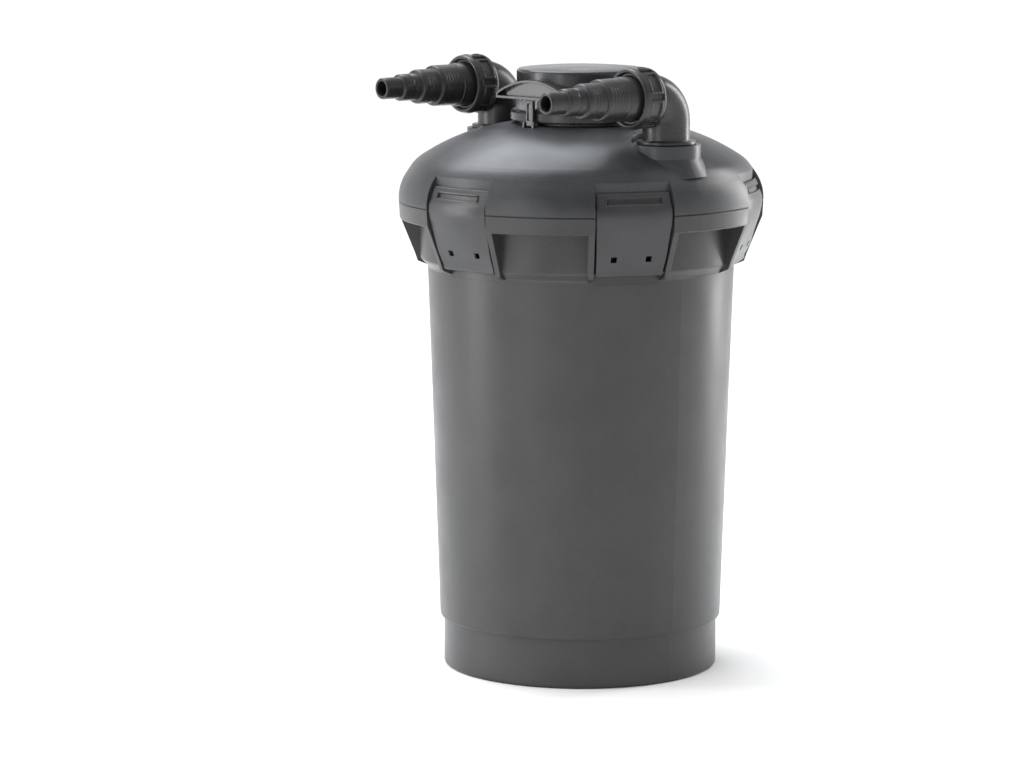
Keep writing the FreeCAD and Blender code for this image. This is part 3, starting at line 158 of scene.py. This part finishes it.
# %% Room
world = bpy.data.worlds.new("studio")
bpy.context.scene.world = world
world.use_nodes = True
sky = world.node_tree
backdrop = sky.nodes["Background"]
backdrop.inputs["Color"].default_value = (0.985, 0.99, 1.0, 1)


def fade(value, low, high, new_low, new_high):
    """Change smoothly from one brightness to another between two values."""
    node = sky.nodes.new("ShaderNodeMapRange")
    node.interpolation_type = "SMOOTHSTEP"
    ends = {"From Min": low, "From Max": high, "To Min": new_low, "To Max": new_high}
    for key, number in ends.items():
        node.inputs[key].default_value = number
    sky.links.new(value, node.inputs["Value"])
    return node.outputs[0]


direction = sky.nodes.new("ShaderNodeTexCoord").outputs["Generated"]
height = sky.nodes.new("ShaderNodeSeparateXYZ")
sky.links.new(direction, height.inputs[0])
forward = sky.nodes.new("ShaderNodeVectorMath")
forward.operation = "DOT_PRODUCT"
forward.inputs[1].default_value = (Vector(camera.location) * Vector((1, 1, 0))).normalized()
sky.links.new(direction, forward.inputs[0])
strength = sky.nodes.new("ShaderNodeMath")
strength.operation = "MULTIPLY"
sky.links.new(fade(height.outputs[2], 0.12, 0.5, 1.0, 0.42), strength.inputs[0])
sky.links.new(fade(forward.outputs["Value"], 0.3, 0.9, 1.0, 0.5), strength.inputs[1])
sky.links.new(strength.outputs[0], backdrop.inputs["Strength"])
bpy.context.scene.view_settings.view_transform = "Standard"
print("room:", world.name)

# %% [markdown]
# ## Shader groups
# Every moulded part of the filter shares three effects: the fine grain that
# the mould leaves, edges that handling has polished and rubbed, and dust on
# what faces up. Each is built once as a group of nodes, and each material
# sets its own strength. A group only gives out values, colours and normals.

# %% Group helper
class Nodes:
    """Short names for adding nodes and links to one tree."""

    def __init__(self, tree):
        self.tree = tree

    def add(self, kind, **settings):
        node = self.tree.nodes.new(kind)
        for key, value in settings.items():
            setattr(node, key, value)
        return node

    def link(self, source, target):
        self.tree.links.new(source, target)

    def math(self, operation, first, second=None, clamp=False):
        node = self.add("ShaderNodeMath", operation=operation, use_clamp=clamp)
        for socket, value in zip(node.inputs, (first, second)):
            if value is None:
                continue
            if isinstance(value, (int, float)):
                socket.default_value = value
            else:
                self.link(value, socket)
        return node.outputs[0]

    def span(self, value, low, high, new_low=0.0, new_high=1.0):
        """Stretch a value from one range to another, and stop at its ends."""
        node = self.add("ShaderNodeMapRange", interpolation_type="SMOOTHSTEP")
        for key, number in (
            ("From Min", low),
            ("From Max", high),
            ("To Min", new_low),
            ("To Max", new_high),
        ):
            node.inputs[key].default_value = number
        self.link(value, node.inputs["Value"])
        return node.outputs[0]

    def mix(self, factor, first, second, blend="MIX"):
        node = self.add("ShaderNodeMix", data_type="RGBA", blend_type=blend)
        for socket, value in ((0, factor), (6, first), (7, second)):
            if isinstance(value, (int, float, tuple)):
                node.inputs[socket].default_value = value
            else:
                self.link(value, node.inputs[socket])
        return node.outputs[2]


def new_group(name, inputs, outputs):
    """An empty node group; inputs are (name, type, value)."""
    group = bpy.data.node_groups.new(name, "ShaderNodeTree")
    for label, kind, value in inputs:
        socket = group.interface.new_socket(label, in_out="INPUT", socket_type=kind)
        if value is not None:
            socket.default_value = value
    for label, kind in outputs:
        group.interface.new_socket(label, in_out="OUTPUT", socket_type=kind)
    nodes = Nodes(group)
    return group, nodes, nodes.add("NodeGroupInput"), nodes.add("NodeGroupOutput")


FLOAT, COLOR, VECTOR = "NodeSocketFloat", "NodeSocketColor", "NodeSocketVector"

# %% [markdown]
# ### Mould grain
# A moulded satin surface is eroded into tiny pits about a millimetre apart,
# over much wider and fainter waves where the plastic shrank. Cells give the
# pits and two noises give the waves. One height serves the bump, and the waves
# also shift the colour and the gloss a little, as they do on real plastic.

# %% Mould grain
grain, g, given, out = new_group(
    "mould_grain",
    [("Fineness", FLOAT, 900.0), ("Waves", FLOAT, 0.4)],
    [("Height", FLOAT), ("Mottle", FLOAT)],
)
where = g.add("ShaderNodeTexCoord").outputs["Object"]
pits = g.add("ShaderNodeTexVoronoi", feature="SMOOTH_F1")
pits.inputs["Smoothness"].default_value = 0.7
g.link(where, pits.inputs["Vector"])
g.link(given.outputs["Fineness"], pits.inputs["Scale"])
speckle = g.add("ShaderNodeTexNoise")
speckle.inputs["Detail"].default_value = 3
g.link(where, speckle.inputs["Vector"])
g.link(g.math("MULTIPLY", given.outputs["Fineness"], 0.55), speckle.inputs["Scale"])
wave = g.add("ShaderNodeTexNoise")
wave.inputs["Scale"].default_value = 22
wave.inputs["Detail"].default_value = 4
g.link(where, wave.inputs["Vector"])
pit = g.math("MULTIPLY", pits.outputs["Distance"], 0.55)
fine = g.math("ADD", pit, g.math("MULTIPLY", speckle.outputs[0], 0.6))
broad = g.math("MULTIPLY", wave.outputs[0], given.outputs["Waves"])
g.link(g.math("ADD", fine, broad), out.inputs["Height"])
blotch = g.math("ADD", g.math("MULTIPLY", wave.outputs[0], 0.7), g.math("MULTIPLY", speckle.outputs[0], 0.3))
g.link(g.span(blotch, 0.36, 0.64), out.inputs["Mottle"])
print("group:", grain.name)

# %% [markdown]
# ### Soft edges
# No moulded edge is sharp. The Bevel node looks round a point for other faces
# and gives back the normal that a small radius there would have. Where that
# normal leaves the real one there is an edge, so the same node also finds
# where hands and hoses rub. A noise breaks the rubbed line up.

# %% Soft edges
edges, g, given, out = new_group(
    "soft_edges",
    [("Amount", FLOAT, 0.5)],
    [("Normal", VECTOR), ("Wear", FLOAT)],
)
where = g.add("ShaderNodeTexCoord").outputs["Object"]
rounded = g.add("ShaderNodeBevel", samples=4)
rounded.inputs["Radius"].default_value = 0.0009
flat = g.add("ShaderNodeNewGeometry").outputs["Normal"]
dot = g.add("ShaderNodeVectorMath", operation="DOT_PRODUCT")
g.link(rounded.outputs[0], dot.inputs[0])
g.link(flat, dot.inputs[1])
turned = g.math("SUBTRACT", 1.0, dot.outputs["Value"])
patchy = g.add("ShaderNodeTexNoise")
patchy.inputs["Scale"].default_value = 160
patchy.inputs["Detail"].default_value = 5
g.link(where, patchy.inputs["Vector"])
rubbed = g.math("MULTIPLY", g.span(turned, 0.01, 0.2), g.span(patchy.outputs[0], 0.4, 0.66))
g.link(g.math("MULTIPLY", rubbed, given.outputs["Amount"], clamp=True), out.inputs["Wear"])
g.link(rounded.outputs[0], out.inputs["Normal"])
print("group:", edges.name)

# %% [markdown]
# ### Dust
# Dust settles on what faces up and is thickest where nothing wipes it. The
# upward part of the normal says where it can lie, and a noise with a lot of
# detail makes it uneven.

# %% Dust
dust, g, given, out = new_group("settled_dust", [("Amount", FLOAT, 0.1)], [("Cover", FLOAT)])
where = g.add("ShaderNodeTexCoord").outputs["Object"]
facing = g.add("ShaderNodeSeparateXYZ")
g.link(g.add("ShaderNodeNewGeometry").outputs["Normal"], facing.inputs[0])
uneven = g.add("ShaderNodeTexNoise")
uneven.inputs["Scale"].default_value = 95
uneven.inputs["Detail"].default_value = 8
g.link(where, uneven.inputs["Vector"])
lying = g.math("MULTIPLY", g.span(facing.outputs[2], 0.3, 0.95), g.span(uneven.outputs[0], 0.35, 0.75))
g.link(g.math("MULTIPLY", lying, given.outputs["Amount"], clamp=True), out.inputs["Cover"])
print("group:", dust.name)

# %% [markdown]
# ## Plastic
# All the housings are the same dark polypropylene family, in slightly
# different shades and glosses: the tank and lid are satin, the nozzles and
# nuts are darker and shinier. One recipe makes them. The colour is mixed from
# a base and a lighter mottle, then from rubbed edges and dust, and the same
# masks change the roughness.

# %% Plastic recipe
def use_group(nodes, group, **values):
    node = nodes.add("ShaderNodeGroup", node_tree=group)
    for key, value in values.items():
        node.inputs[key].default_value = value
    return node


def lighter(colour, factor):
    return tuple(min(1, part * factor) for part in colour) + (1,)


def plastic(
    name, colour, gloss, fineness=950, waves=0.4, pit_depth=0.00005, wear=0.35, dusty=0.06, spread=1.22
):
    """A moulded plastic: gloss is its roughness, pit_depth is in metres."""
    material = bpy.data.materials.new(name)
    material.use_nodes = True
    nodes = Nodes(material.node_tree)
    surface = material.node_tree.nodes["Principled BSDF"]
    texture = use_group(nodes, grain, Fineness=fineness, Waves=waves)
    edge = use_group(nodes, edges, Amount=wear)
    settled = use_group(nodes, dust, Amount=dusty)
    shade = nodes.mix(texture.outputs["Mottle"], lighter(colour, 0.9), lighter(colour, spread))
    shade = nodes.mix(edge.outputs["Wear"], shade, lighter(colour, 2.6))
    shade = nodes.mix(settled.outputs["Cover"], shade, (0.42, 0.40, 0.37, 1))
    nodes.link(shade, surface.inputs["Base Color"])
    rough = nodes.span(texture.outputs["Mottle"], 0, 1, gloss - 0.035, gloss + 0.045)
    rough = nodes.math("ADD", rough, nodes.math("MULTIPLY", settled.outputs["Cover"], 0.35))
    rough = nodes.math("SUBTRACT", rough, nodes.math("MULTIPLY", edge.outputs["Wear"], 0.1), clamp=True)
    nodes.link(rough, surface.inputs["Roughness"])
    bump = nodes.add("ShaderNodeBump")
    bump.inputs["Strength"].default_value = 1
    bump.inputs["Distance"].default_value = pit_depth
    nodes.link(texture.outputs["Height"], bump.inputs["Height"])
    nodes.link(edge.outputs["Normal"], bump.inputs["Normal"])
    nodes.link(bump.outputs[0], surface.inputs["Normal"])
    return material


FINISH = {
    "tank_plastic": plastic("tank_plastic", (0.031, 0.0305, 0.031), 0.34, waves=0.2),
    "lid_plastic": plastic("lid_plastic", (0.031, 0.032, 0.035), 0.36, waves=0.25, dusty=0.02),
    "clamp_plastic": plastic("clamp_plastic", (0.031, 0.031, 0.033), 0.33, wear=0.55),
    "head_plastic": plastic(
        "head_plastic", (0.024, 0.024, 0.026), 0.26, waves=0.1, pit_depth=0.00001, wear=0.3, dusty=0.0
    ),
    "gland_plastic": plastic("gland_plastic", (0.012, 0.012, 0.012), 0.45),
    "elbow_plastic": plastic(
        "elbow_plastic", (0.020, 0.020, 0.021), 0.30, waves=0.1, pit_depth=0.00001, wear=0.0
    ),
    "tail_plastic": plastic("tail_plastic", (0.018, 0.018, 0.019), 0.32, wear=0.5),
    "nut_plastic": plastic("nut_plastic", (0.021, 0.021, 0.022), 0.31, wear=0.5),
    "grid_plastic": plastic("grid_plastic", (0.012, 0.012, 0.013), 0.5, wear=0.1),
    "lamp_plastic": plastic("lamp_plastic", (0.62, 0.61, 0.57), 0.4, wear=0.0, spread=1.05),
}
print("plastics:", len(FINISH))

# %% [markdown]
# ## Rubber, metal, glass and foam
# The seals are matt rubber, the pin and the retaining rings are drawn steel,
# and the sleeve round the lamp is clear quartz. The foams are open cells, so
# their bump comes from cells, larger in the coarse ones, and their colour is
# darkened in the middle of each cell as painted shade in the pores.
# Glass keeps a plain transmission, because only its roughness varies.

# %% Rubber and steel
def rough_finish(name, colour, gloss, scale, depth, metal=0.0, stretch=(1, 1, 1), spread=1.35):
    """A finish from one noise, stretched where the surface was drawn or brushed."""
    material = bpy.data.materials.new(name)
    material.use_nodes = True
    nodes = Nodes(material.node_tree)
    surface = material.node_tree.nodes["Principled BSDF"]
    surface.inputs["Metallic"].default_value = metal
    turn = nodes.add("ShaderNodeMapping")
    turn.inputs["Scale"].default_value = stretch
    nodes.link(nodes.add("ShaderNodeTexCoord").outputs["Object"], turn.inputs[0])
    noise = nodes.add("ShaderNodeTexNoise")
    noise.inputs["Scale"].default_value = scale
    noise.inputs["Detail"].default_value = 6
    nodes.link(turn.outputs[0], noise.inputs["Vector"])
    shade = nodes.mix(nodes.span(noise.outputs[0], 0.35, 0.65), lighter(colour, 1), lighter(colour, spread))
    nodes.link(shade, surface.inputs["Base Color"])
    rough = nodes.span(noise.outputs[0], 0.3, 0.7, gloss - 0.06, gloss + 0.06)
    nodes.link(rough, surface.inputs["Roughness"])
    bump = nodes.add("ShaderNodeBump")
    bump.inputs["Distance"].default_value = depth
    nodes.link(noise.outputs[0], bump.inputs["Height"])
    nodes.link(bump.outputs[0], surface.inputs["Normal"])
    return material


FINISH["seal_rubber"] = rough_finish("seal_rubber", (0.016, 0.016, 0.017), 0.62, 700, 0.00004)
FINISH["steel_pin"] = rough_finish("steel_pin", (0.55, 0.55, 0.54), 0.3, 500, 0.00001, 1.0, (1, 1, 9), 1.15)
print("rubber and steel made")

# %% Foam
def foam(name, colour, cells):
    """Open-cell foam: cells is the number of cells in a metre."""
    material = bpy.data.materials.new(name)
    material.use_nodes = True
    nodes = Nodes(material.node_tree)
    surface = material.node_tree.nodes["Principled BSDF"]
    where = nodes.add("ShaderNodeTexCoord").outputs["Object"]
    cell = nodes.add("ShaderNodeTexVoronoi", feature="F1")
    cell.inputs["Scale"].default_value = cells
    nodes.link(where, cell.inputs["Vector"])
    # This mask is low in the middle of each cell and high on its walls. It gives the foam's height, and in
    # the colour it is painted shade in the pores.
    walls = nodes.span(cell.outputs["Distance"], 0.15, 0.7)
    nodes.link(nodes.mix(walls, lighter(colour, 0.25), lighter(colour, 1.1)), surface.inputs["Base Color"])
    nodes.link(nodes.span(cell.outputs["Distance"], 0.1, 0.8, 0.95, 0.8), surface.inputs["Roughness"])
    bump = nodes.add("ShaderNodeBump")
    bump.inputs["Distance"].default_value = 0.0012
    nodes.link(walls, bump.inputs["Height"])
    nodes.link(bump.outputs[0], surface.inputs["Normal"])
    return material


FINISH["coarse_foam"] = foam("coarse_foam", (0.03, 0.07, 0.22), 260)
FINISH["medium_foam"] = foam("medium_foam", (0.30, 0.25, 0.07), 400)
FINISH["fine_foam"] = foam("fine_foam", (0.26, 0.05, 0.04), 600)
print("foams made")

# %% Clear parts
def clear(name, colour, gloss, through, ior=1.46):
    """Glass or clear plastic, a little uneven where fingers have been."""
    material = bpy.data.materials.new(name)
    material.use_nodes = True
    nodes = Nodes(material.node_tree)
    surface = material.node_tree.nodes["Principled BSDF"]
    surface.inputs["Transmission Weight"].default_value = through
    surface.inputs["IOR"].default_value = ior
    noise = nodes.add("ShaderNodeTexNoise")
    noise.inputs["Scale"].default_value = 70
    noise.inputs["Detail"].default_value = 6
    nodes.link(nodes.add("ShaderNodeTexCoord").outputs["Object"], noise.inputs["Vector"])
    shade = nodes.mix(noise.outputs[0], lighter(colour, 0.85), lighter(colour, 1.1))
    nodes.link(shade, surface.inputs["Base Color"])
    nodes.link(nodes.span(noise.outputs[0], 0.3, 0.7, gloss, gloss + 0.1), surface.inputs["Roughness"])
    return material


FINISH["quartz"] = clear("quartz", (0.9, 0.94, 0.95), 0.03, 1.0)
FINISH["window_plastic"] = clear("window_plastic", (0.42, 0.43, 0.45), 0.22, 0.55, 1.5)
print("clear parts made")

# %% Finish on the solid parts
for node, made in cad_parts.items():
    for place in made.material_slots:
        if place.material and place.material.name.split(".")[0] in FINISH:
            place.material = FINISH[place.material.name.split(".")[0]]
print("parts with a finish:", len(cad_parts))

# %% [markdown]
# ## Turning a shape on a lathe
# Nuts, hose tails and rings are round, so each starts as a few points of its
# section, joined by edges, and the spin operator carries that line round. The
# points are in millimetres, as a turner reads them from a drawing. A full turn
# merges its own ends. Doubles are merged before the normals are worked out, or
# the seam of a shape made in several turns would stay open.

# %% Lathe helpers
MM = 0.001


def section(form, points, closed=True):
    """Draw (radius, height) points in the XZ plane and join them."""
    corners = [form.verts.new((radius * MM, 0, height * MM)) for radius, height in points]
    pairs = list(zip(corners, corners[1:]))
    if closed:
        pairs.append((corners[-1], corners[0]))
    return corners + [form.edges.new(pair) for pair in pairs]


def turn_round(form, line, degrees, steps):
    """Carry a line about Z and give back the line it ends on."""
    made = bmesh.ops.spin(
        form,
        geom=line,
        cent=(0, 0, 0),
        axis=(0, 0, 1),
        dvec=(0, 0, 0),
        angle=math.radians(degrees),
        steps=steps,
        use_merge=degrees == 360,
        use_duplicate=False,
    )
    return made["geom_last"]


def tidy(form):
    """Close the seam and turn every face outwards."""
    bmesh.ops.remove_doubles(form, verts=form.verts, dist=0.000001)
    bmesh.ops.recalc_face_normals(form, faces=form.faces)


def soft_edges(piece, width, segments=2):
    """Round a piece's sharp edges with real geometry."""
    bevel = piece.modifiers.new("moulded_round", "BEVEL")
    bevel.width = width * MM
    bevel.segments = segments
    bevel.limit_method = "ANGLE"
    bevel.angle_limit = math.radians(32)
    bevel.use_clamp_overlap = True
    bevel.harden_normals = True


def dress(piece, slot, body, *nodes):
    """Give a piece its finish, the body it rides on, and the parts it stands for."""
    piece.data.materials.append(FINISH[slot])
    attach(piece, body)
    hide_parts(*nodes)


def azimuth_of(point):
    """The angle of a point round Z, in degrees."""
    return math.degrees(math.atan2(point.y, point.x))


print("lathe ready")

# %% [markdown]
# ## Clamps
# A clamp is one curved plate that hooks over the lid's ledge. It bellies out
# at the seam, leans back at its top, and runs down to a straight hinge rod.
# Its section is carried round by the width of the plate, which leaves a grid
# of faces: the finger slot is pressed into some of them, and the two square
# holes are cut through others and bridged. The foot is then drawn out flat,
# because a hinge rod has to be straight.

# %% Clamp section
CLAMP_COUNT = 6
FIRST_CLAMP = -83
CLAMP_HALF = 12.2
CLAMP_STEPS = 24
ROD_RADIUS, ROD_LENGTH = 1.8, 72
ROD_CENTRE = (146.6, 0, 385.5)
CLAMP_SECTION = [
    (149.6, 385.5), (149.6, 387.0), (154.2, 396.5), (156.5, 401.5), (161.2, 412.6), (163.8, 418.6),
    (165.4, 422.6), (166.6, 426.2), (167.6, 430.0), (168.5, 434.5), (168.8, 438.5), (168.6, 442.5),
    (167.6, 446.0), (166.2, 448.6), (163.9, 455.6), (163.0, 457.6), (162.0, 459.2), (160.9, 459.9),
    (160.4, 459.0), (161.4, 456.6), (162.3, 452.4), (162.4, 450.9), (160.1, 450.6), (160.1, 447.9),
    (164.6, 446.3), (165.6, 438.5), (165.2, 432.0), (164.2, 426.4), (161.4, 418.6), (153.3, 401.5),
    (150.8, 396.5), (146.3, 388.0), (144.4, 387.2), (143.6, 385.5), (144.0, 384.0), (145.1, 382.9),
    (146.6, 382.5), (148.1, 382.9), (149.2, 384.0),
]
# Patches of the plate: lowest and highest, then angles from the middle.
SLOT = (448.6, 455.6, -1, 9.2)
HOLE = (396.5, 401.5, 5.0, 7.2)
# The plate is flat below one height and round above the other.
FLAT_BELOW, CURVED_ABOVE = 392.0, 428.0

# %% Clamps
def in_patch(face, low, high, near, far):
    """True if a face lies between two heights and two angles either side of middle."""
    middle = face.calc_center_median()
    return low * MM < middle.z < high * MM and near < abs(azimuth_of(middle)) < far


def clamp_form():
    """One clamp facing +X: plate, slot, holes, flat foot and hinge rod."""
    form = bmesh.new()
    line = section(form, CLAMP_SECTION)
    start = Matrix.Rotation(math.radians(-CLAMP_HALF), 3, "Z")
    bmesh.ops.rotate(form, verts=form.verts, cent=(0, 0, 0), matrix=start)
    turn_round(form, line, CLAMP_HALF * 2, CLAMP_STEPS)
    bmesh.ops.holes_fill(form, edges=[edge for edge in form.edges if edge.is_boundary], sides=0)
    tidy(form)
    slot = [
        face
        for face in form.faces
        if len(face.verts) == 4 and in_patch(face, *SLOT) and face.normal.x > 0.5
    ]
    for width, rise in ((0.9, 0.5), (0.4, 0.0), (0.3, -2.2)):
        bmesh.ops.inset_region(form, faces=slot, thickness=width * MM, depth=rise * MM, use_even_offset=True)
    for side in (-1, 1):
        hole = [
            face
            for face in form.faces
            if len(face.verts) == 4
            and in_patch(face, *HOLE)
            and face.calc_center_median().y * side > 0
        ]
        bmesh.ops.delete(form, geom=hole, context="FACES")
        rims = [edge for edge in form.edges if edge.is_boundary]
        bmesh.ops.bridge_loops(form, edges=rims)
    for corner in form.verts:
        share = (CURVED_ABOVE - corner.co.z / MM) / (CURVED_ABOVE - FLAT_BELOW)
        share = min(1, max(0, share))
        radius = math.hypot(corner.co.x, corner.co.y)
        corner.co.x += (radius - corner.co.x) * share * share * (3 - 2 * share)
    rod = bmesh.ops.create_cone(
        form,
        cap_ends=True,
        segments=24,
        radius1=ROD_RADIUS * MM,
        radius2=ROD_RADIUS * MM,
        depth=ROD_LENGTH * MM,
    )["verts"]
    bmesh.ops.rotate(form, verts=rod, cent=(0, 0, 0), matrix=Matrix.Rotation(math.pi / 2, 3, "X"))
    bmesh.ops.translate(form, verts=rod, vec=Vector(ROD_CENTRE) * MM)
    bmesh.ops.recalc_face_normals(form, faces=form.faces)
    return form


for number in range(1, CLAMP_COUNT + 1):
    form = clamp_form()
    facing = FIRST_CLAMP + 360 / CLAMP_COUNT * (number - 1)
    bmesh.ops.rotate(
        form, verts=form.verts, cent=(0, 0, 0), matrix=Matrix.Rotation(math.radians(facing), 3, "Z")
    )
    clamp = mesh_object(f"clamp_plate_{number}", form)
    soft_edges(clamp, 0.5)
    dress(clamp, "clamp_plastic", f"clamp_{number}", f"clamp_{number}")
    print(clamp.name, "faces", round(facing), "degrees")

# %% [markdown]
# ## Hose tails
# A hose tail steps down from the widest hose it takes to the narrowest. Each
# step has a rounded nose, and the two wide ones carry fine ring lines that
# hold the hose. The section is turned as one closed line, outside and bore
# together, so the wall is real all the way to the tip.

# %% Hose tails
def ring_lines(radius, first, last, pitch=3.4, depth=0.4):
    """Points of a plain wall with fine grooves cut into it."""
    points = [(radius, first)]
    height = first + pitch
    while height < last - 1:
        points += [(radius, height - 0.5), (radius - depth, height), (radius, height + 0.5)]
        height += pitch
    return points + [(radius, last)]


def nose(radius, next_radius, end):
    """The rounded end of a step."""
    return [
        (radius, end - 2.2),
        (radius - 0.35, end - 1.1),
        (radius - 1.1, end - 0.25),
        (radius - 2.0, end),
        (next_radius + 0.3, end),
        (next_radius, end + 0.4),
    ]


TAIL_SECTION = (
    [(15.5, 37.5), (22.3, 37.5), (22.3, 41.0), (20.3, 41.0), (20.2, 57.2), (19.9, 58.0), (19.3, 58.2)]
    + ring_lines(19.2, 60.0, 79.5)
    + nose(19.1, 16.2, 83.0)
    + ring_lines(16.1, 84.5, 99.6, 3.6)
    + nose(16.0, 12.7, 103.0)
    + [(12.6, 110.0), (12.35, 110.4), (12.35, 111.0), (12.6, 111.4)]
    + nose(12.5, 10.2, 123.0)
    + [(10.1, 124.5), (10.0, 139.5), (9.8, 141.2), (9.2, 142.0), (7.6, 142.0), (7.0, 141.4)]
    + [(7.0, 119.0), (9.5, 115.0), (9.5, 99.0), (13.0, 95.0), (13.0, 79.0), (15.5, 75.0)]
)


def along_nozzle(form, side):
    """Lay a form turned about Z along a nozzle, which points to -Y."""
    low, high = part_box(f"{side}_hose_tail")
    bmesh.ops.rotate(form, verts=form.verts, cent=(0, 0, 0), matrix=Matrix.Rotation(math.pi / 2, 3, "X"))
    middle = (low + high) / 2
    bmesh.ops.translate(form, verts=form.verts, vec=(middle.x, 0, middle.z))


for side in ("inlet", "outlet"):
    form = bmesh.new()
    turn_round(form, section(form, TAIL_SECTION), 360, 72)
    tidy(form)
    along_nozzle(form, side)
    bmesh.ops.recalc_face_normals(form, faces=form.faces)
    tail = mesh_object(f"{side}_stepped_tail", form)
    soft_edges(tail, 0.25)
    dress(tail, "tail_plastic", f"{side}_tail", f"{side}_hose_tail")
    print(tail.name, len(tail.data.polygons), "faces")

# %% [markdown]
# ## Union nuts
# A union nut is a collar with six finger pads. Between two pads runs a groove,
# and each pad is a thin raised frame round a sunk window. The section is
# carried round in short turns, a groove and then a pad, so that both have
# their own faces. Insetting those faces inwards makes the grooves and windows.

# %% Union nuts
NUT_PADS = 6
GROOVE_ANGLE = 11
NUT_SECTION = [
    (24.2, 23.0), (26.0, 23.0), (26.9, 23.5), (27.4, 24.6), (27.5, 26.2), (27.5, 41.8), (27.4, 42.6),
    (27.4, 44.4), (27.0, 46.0), (26.2, 47.1), (25.0, 47.5), (23.9, 47.1), (23.3, 46.2), (23.1, 44.9),
    (22.6, 44.1), (21.2, 44.1), (20.6, 43.6), (20.6, 41.1), (24.2, 41.1),
]


def grip_faces(form, pad):
    """Faces of the pads, or of the grooves between them."""
    chosen = []
    for face in form.faces:
        middle = face.calc_center_median()
        outside = math.hypot(middle.x, middle.y) > 27.1 * MM and 27 * MM < middle.z < 41 * MM
        groove = azimuth_of(middle) % (360 / NUT_PADS) < GROOVE_ANGLE
        if outside and groove != pad:
            chosen.append(face)
    return chosen


for side in ("inlet", "outlet"):
    form = bmesh.new()
    line = section(form, NUT_SECTION)
    for pad in range(NUT_PADS):
        line = turn_round(form, line, GROOVE_ANGLE, 2)
        line = turn_round(form, line, 360 / NUT_PADS - GROOVE_ANGLE, 8)
    tidy(form)
    bmesh.ops.inset_region(
        form, faces=grip_faces(form, False), thickness=0.4 * MM, depth=-1.8 * MM, use_even_offset=True
    )
    pads = grip_faces(form, True)
    for width, rise in ((0.8, 0.0), (0.5, 0.5), (1.2, 0.0), (0.5, -1.7)):
        bmesh.ops.inset_region(form, faces=pads, thickness=width * MM, depth=rise * MM, use_even_offset=True)
    along_nozzle(form, side)
    bmesh.ops.recalc_face_normals(form, faces=form.faces)
    nut = mesh_object(f"{side}_collar_nut", form)
    soft_edges(nut, 0.3)
    dress(nut, "nut_plastic", f"{side}_nut", f"{side}_union_nut")
    print(nut.name, len(nut.data.polygons), "faces")

# %% [markdown]
# ## Window ring
# A frosted clear ring under the head's cover glows while the lamp is lit. It
# is fluted inside so that it scatters the light. The flutes are the inner
# wall's corners with every other one drawn in. Both walls are then bridged.

# %% Window ring
low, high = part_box("indicator_window")
FLUTES = 90
FLUTE_DEPTH = 0.7
RING_WALL = 2.2
form = bmesh.new()
outer_radius = high.x - 0.1 * MM
bottom, top = low.z / MM + 0.1, high.z / MM - 0.1
outside, inside = outer_radius / MM, outer_radius / MM - RING_WALL
outer = section(form, [(outside, bottom), (outside, top)], closed=False)
turn_round(form, outer, 360, FLUTES * 2)
inner = section(form, [(inside, top), (inside, bottom)], closed=False)
turn_round(form, inner, 360, FLUTES * 2)
bmesh.ops.remove_doubles(form, verts=form.verts, dist=0.000001)
for corner in form.verts:
    radius = math.hypot(corner.co.x, corner.co.y)
    if radius < outer_radius - MM and round(azimuth_of(corner.co) / (180 / FLUTES)) % 2:
        corner.co.xy *= (radius - FLUTE_DEPTH * MM) / radius
rims = [edge for edge in form.edges if edge.is_boundary]
for level in (min, max):
    height = level(vert.co.z for vert in form.verts)
    bmesh.ops.bridge_loops(form, edges=[edge for edge in rims if abs(edge.verts[0].co.z - height) < 0.00001])
bmesh.ops.recalc_face_normals(form, faces=form.faces)
window = mesh_object("window_ring", form, smooth=False)
dress(window, "window_plastic", "uvc_head", "indicator_window")
print(window.name, FLUTES, "flutes")

# %% [markdown]
# ## Finish
# The floor is given a matt pale paper finish. The visual model may stand
# only a little proud of the solid one.

# %% Finish
paper = bpy.data.materials.new("paper")
paper.use_nodes = True
sheet = paper.node_tree.nodes["Principled BSDF"]
sheet.inputs["Base Color"].default_value = (0.86, 0.86, 0.86, 1)
sheet.inputs["Roughness"].default_value = 0.9
floor.data.materials.append(paper)
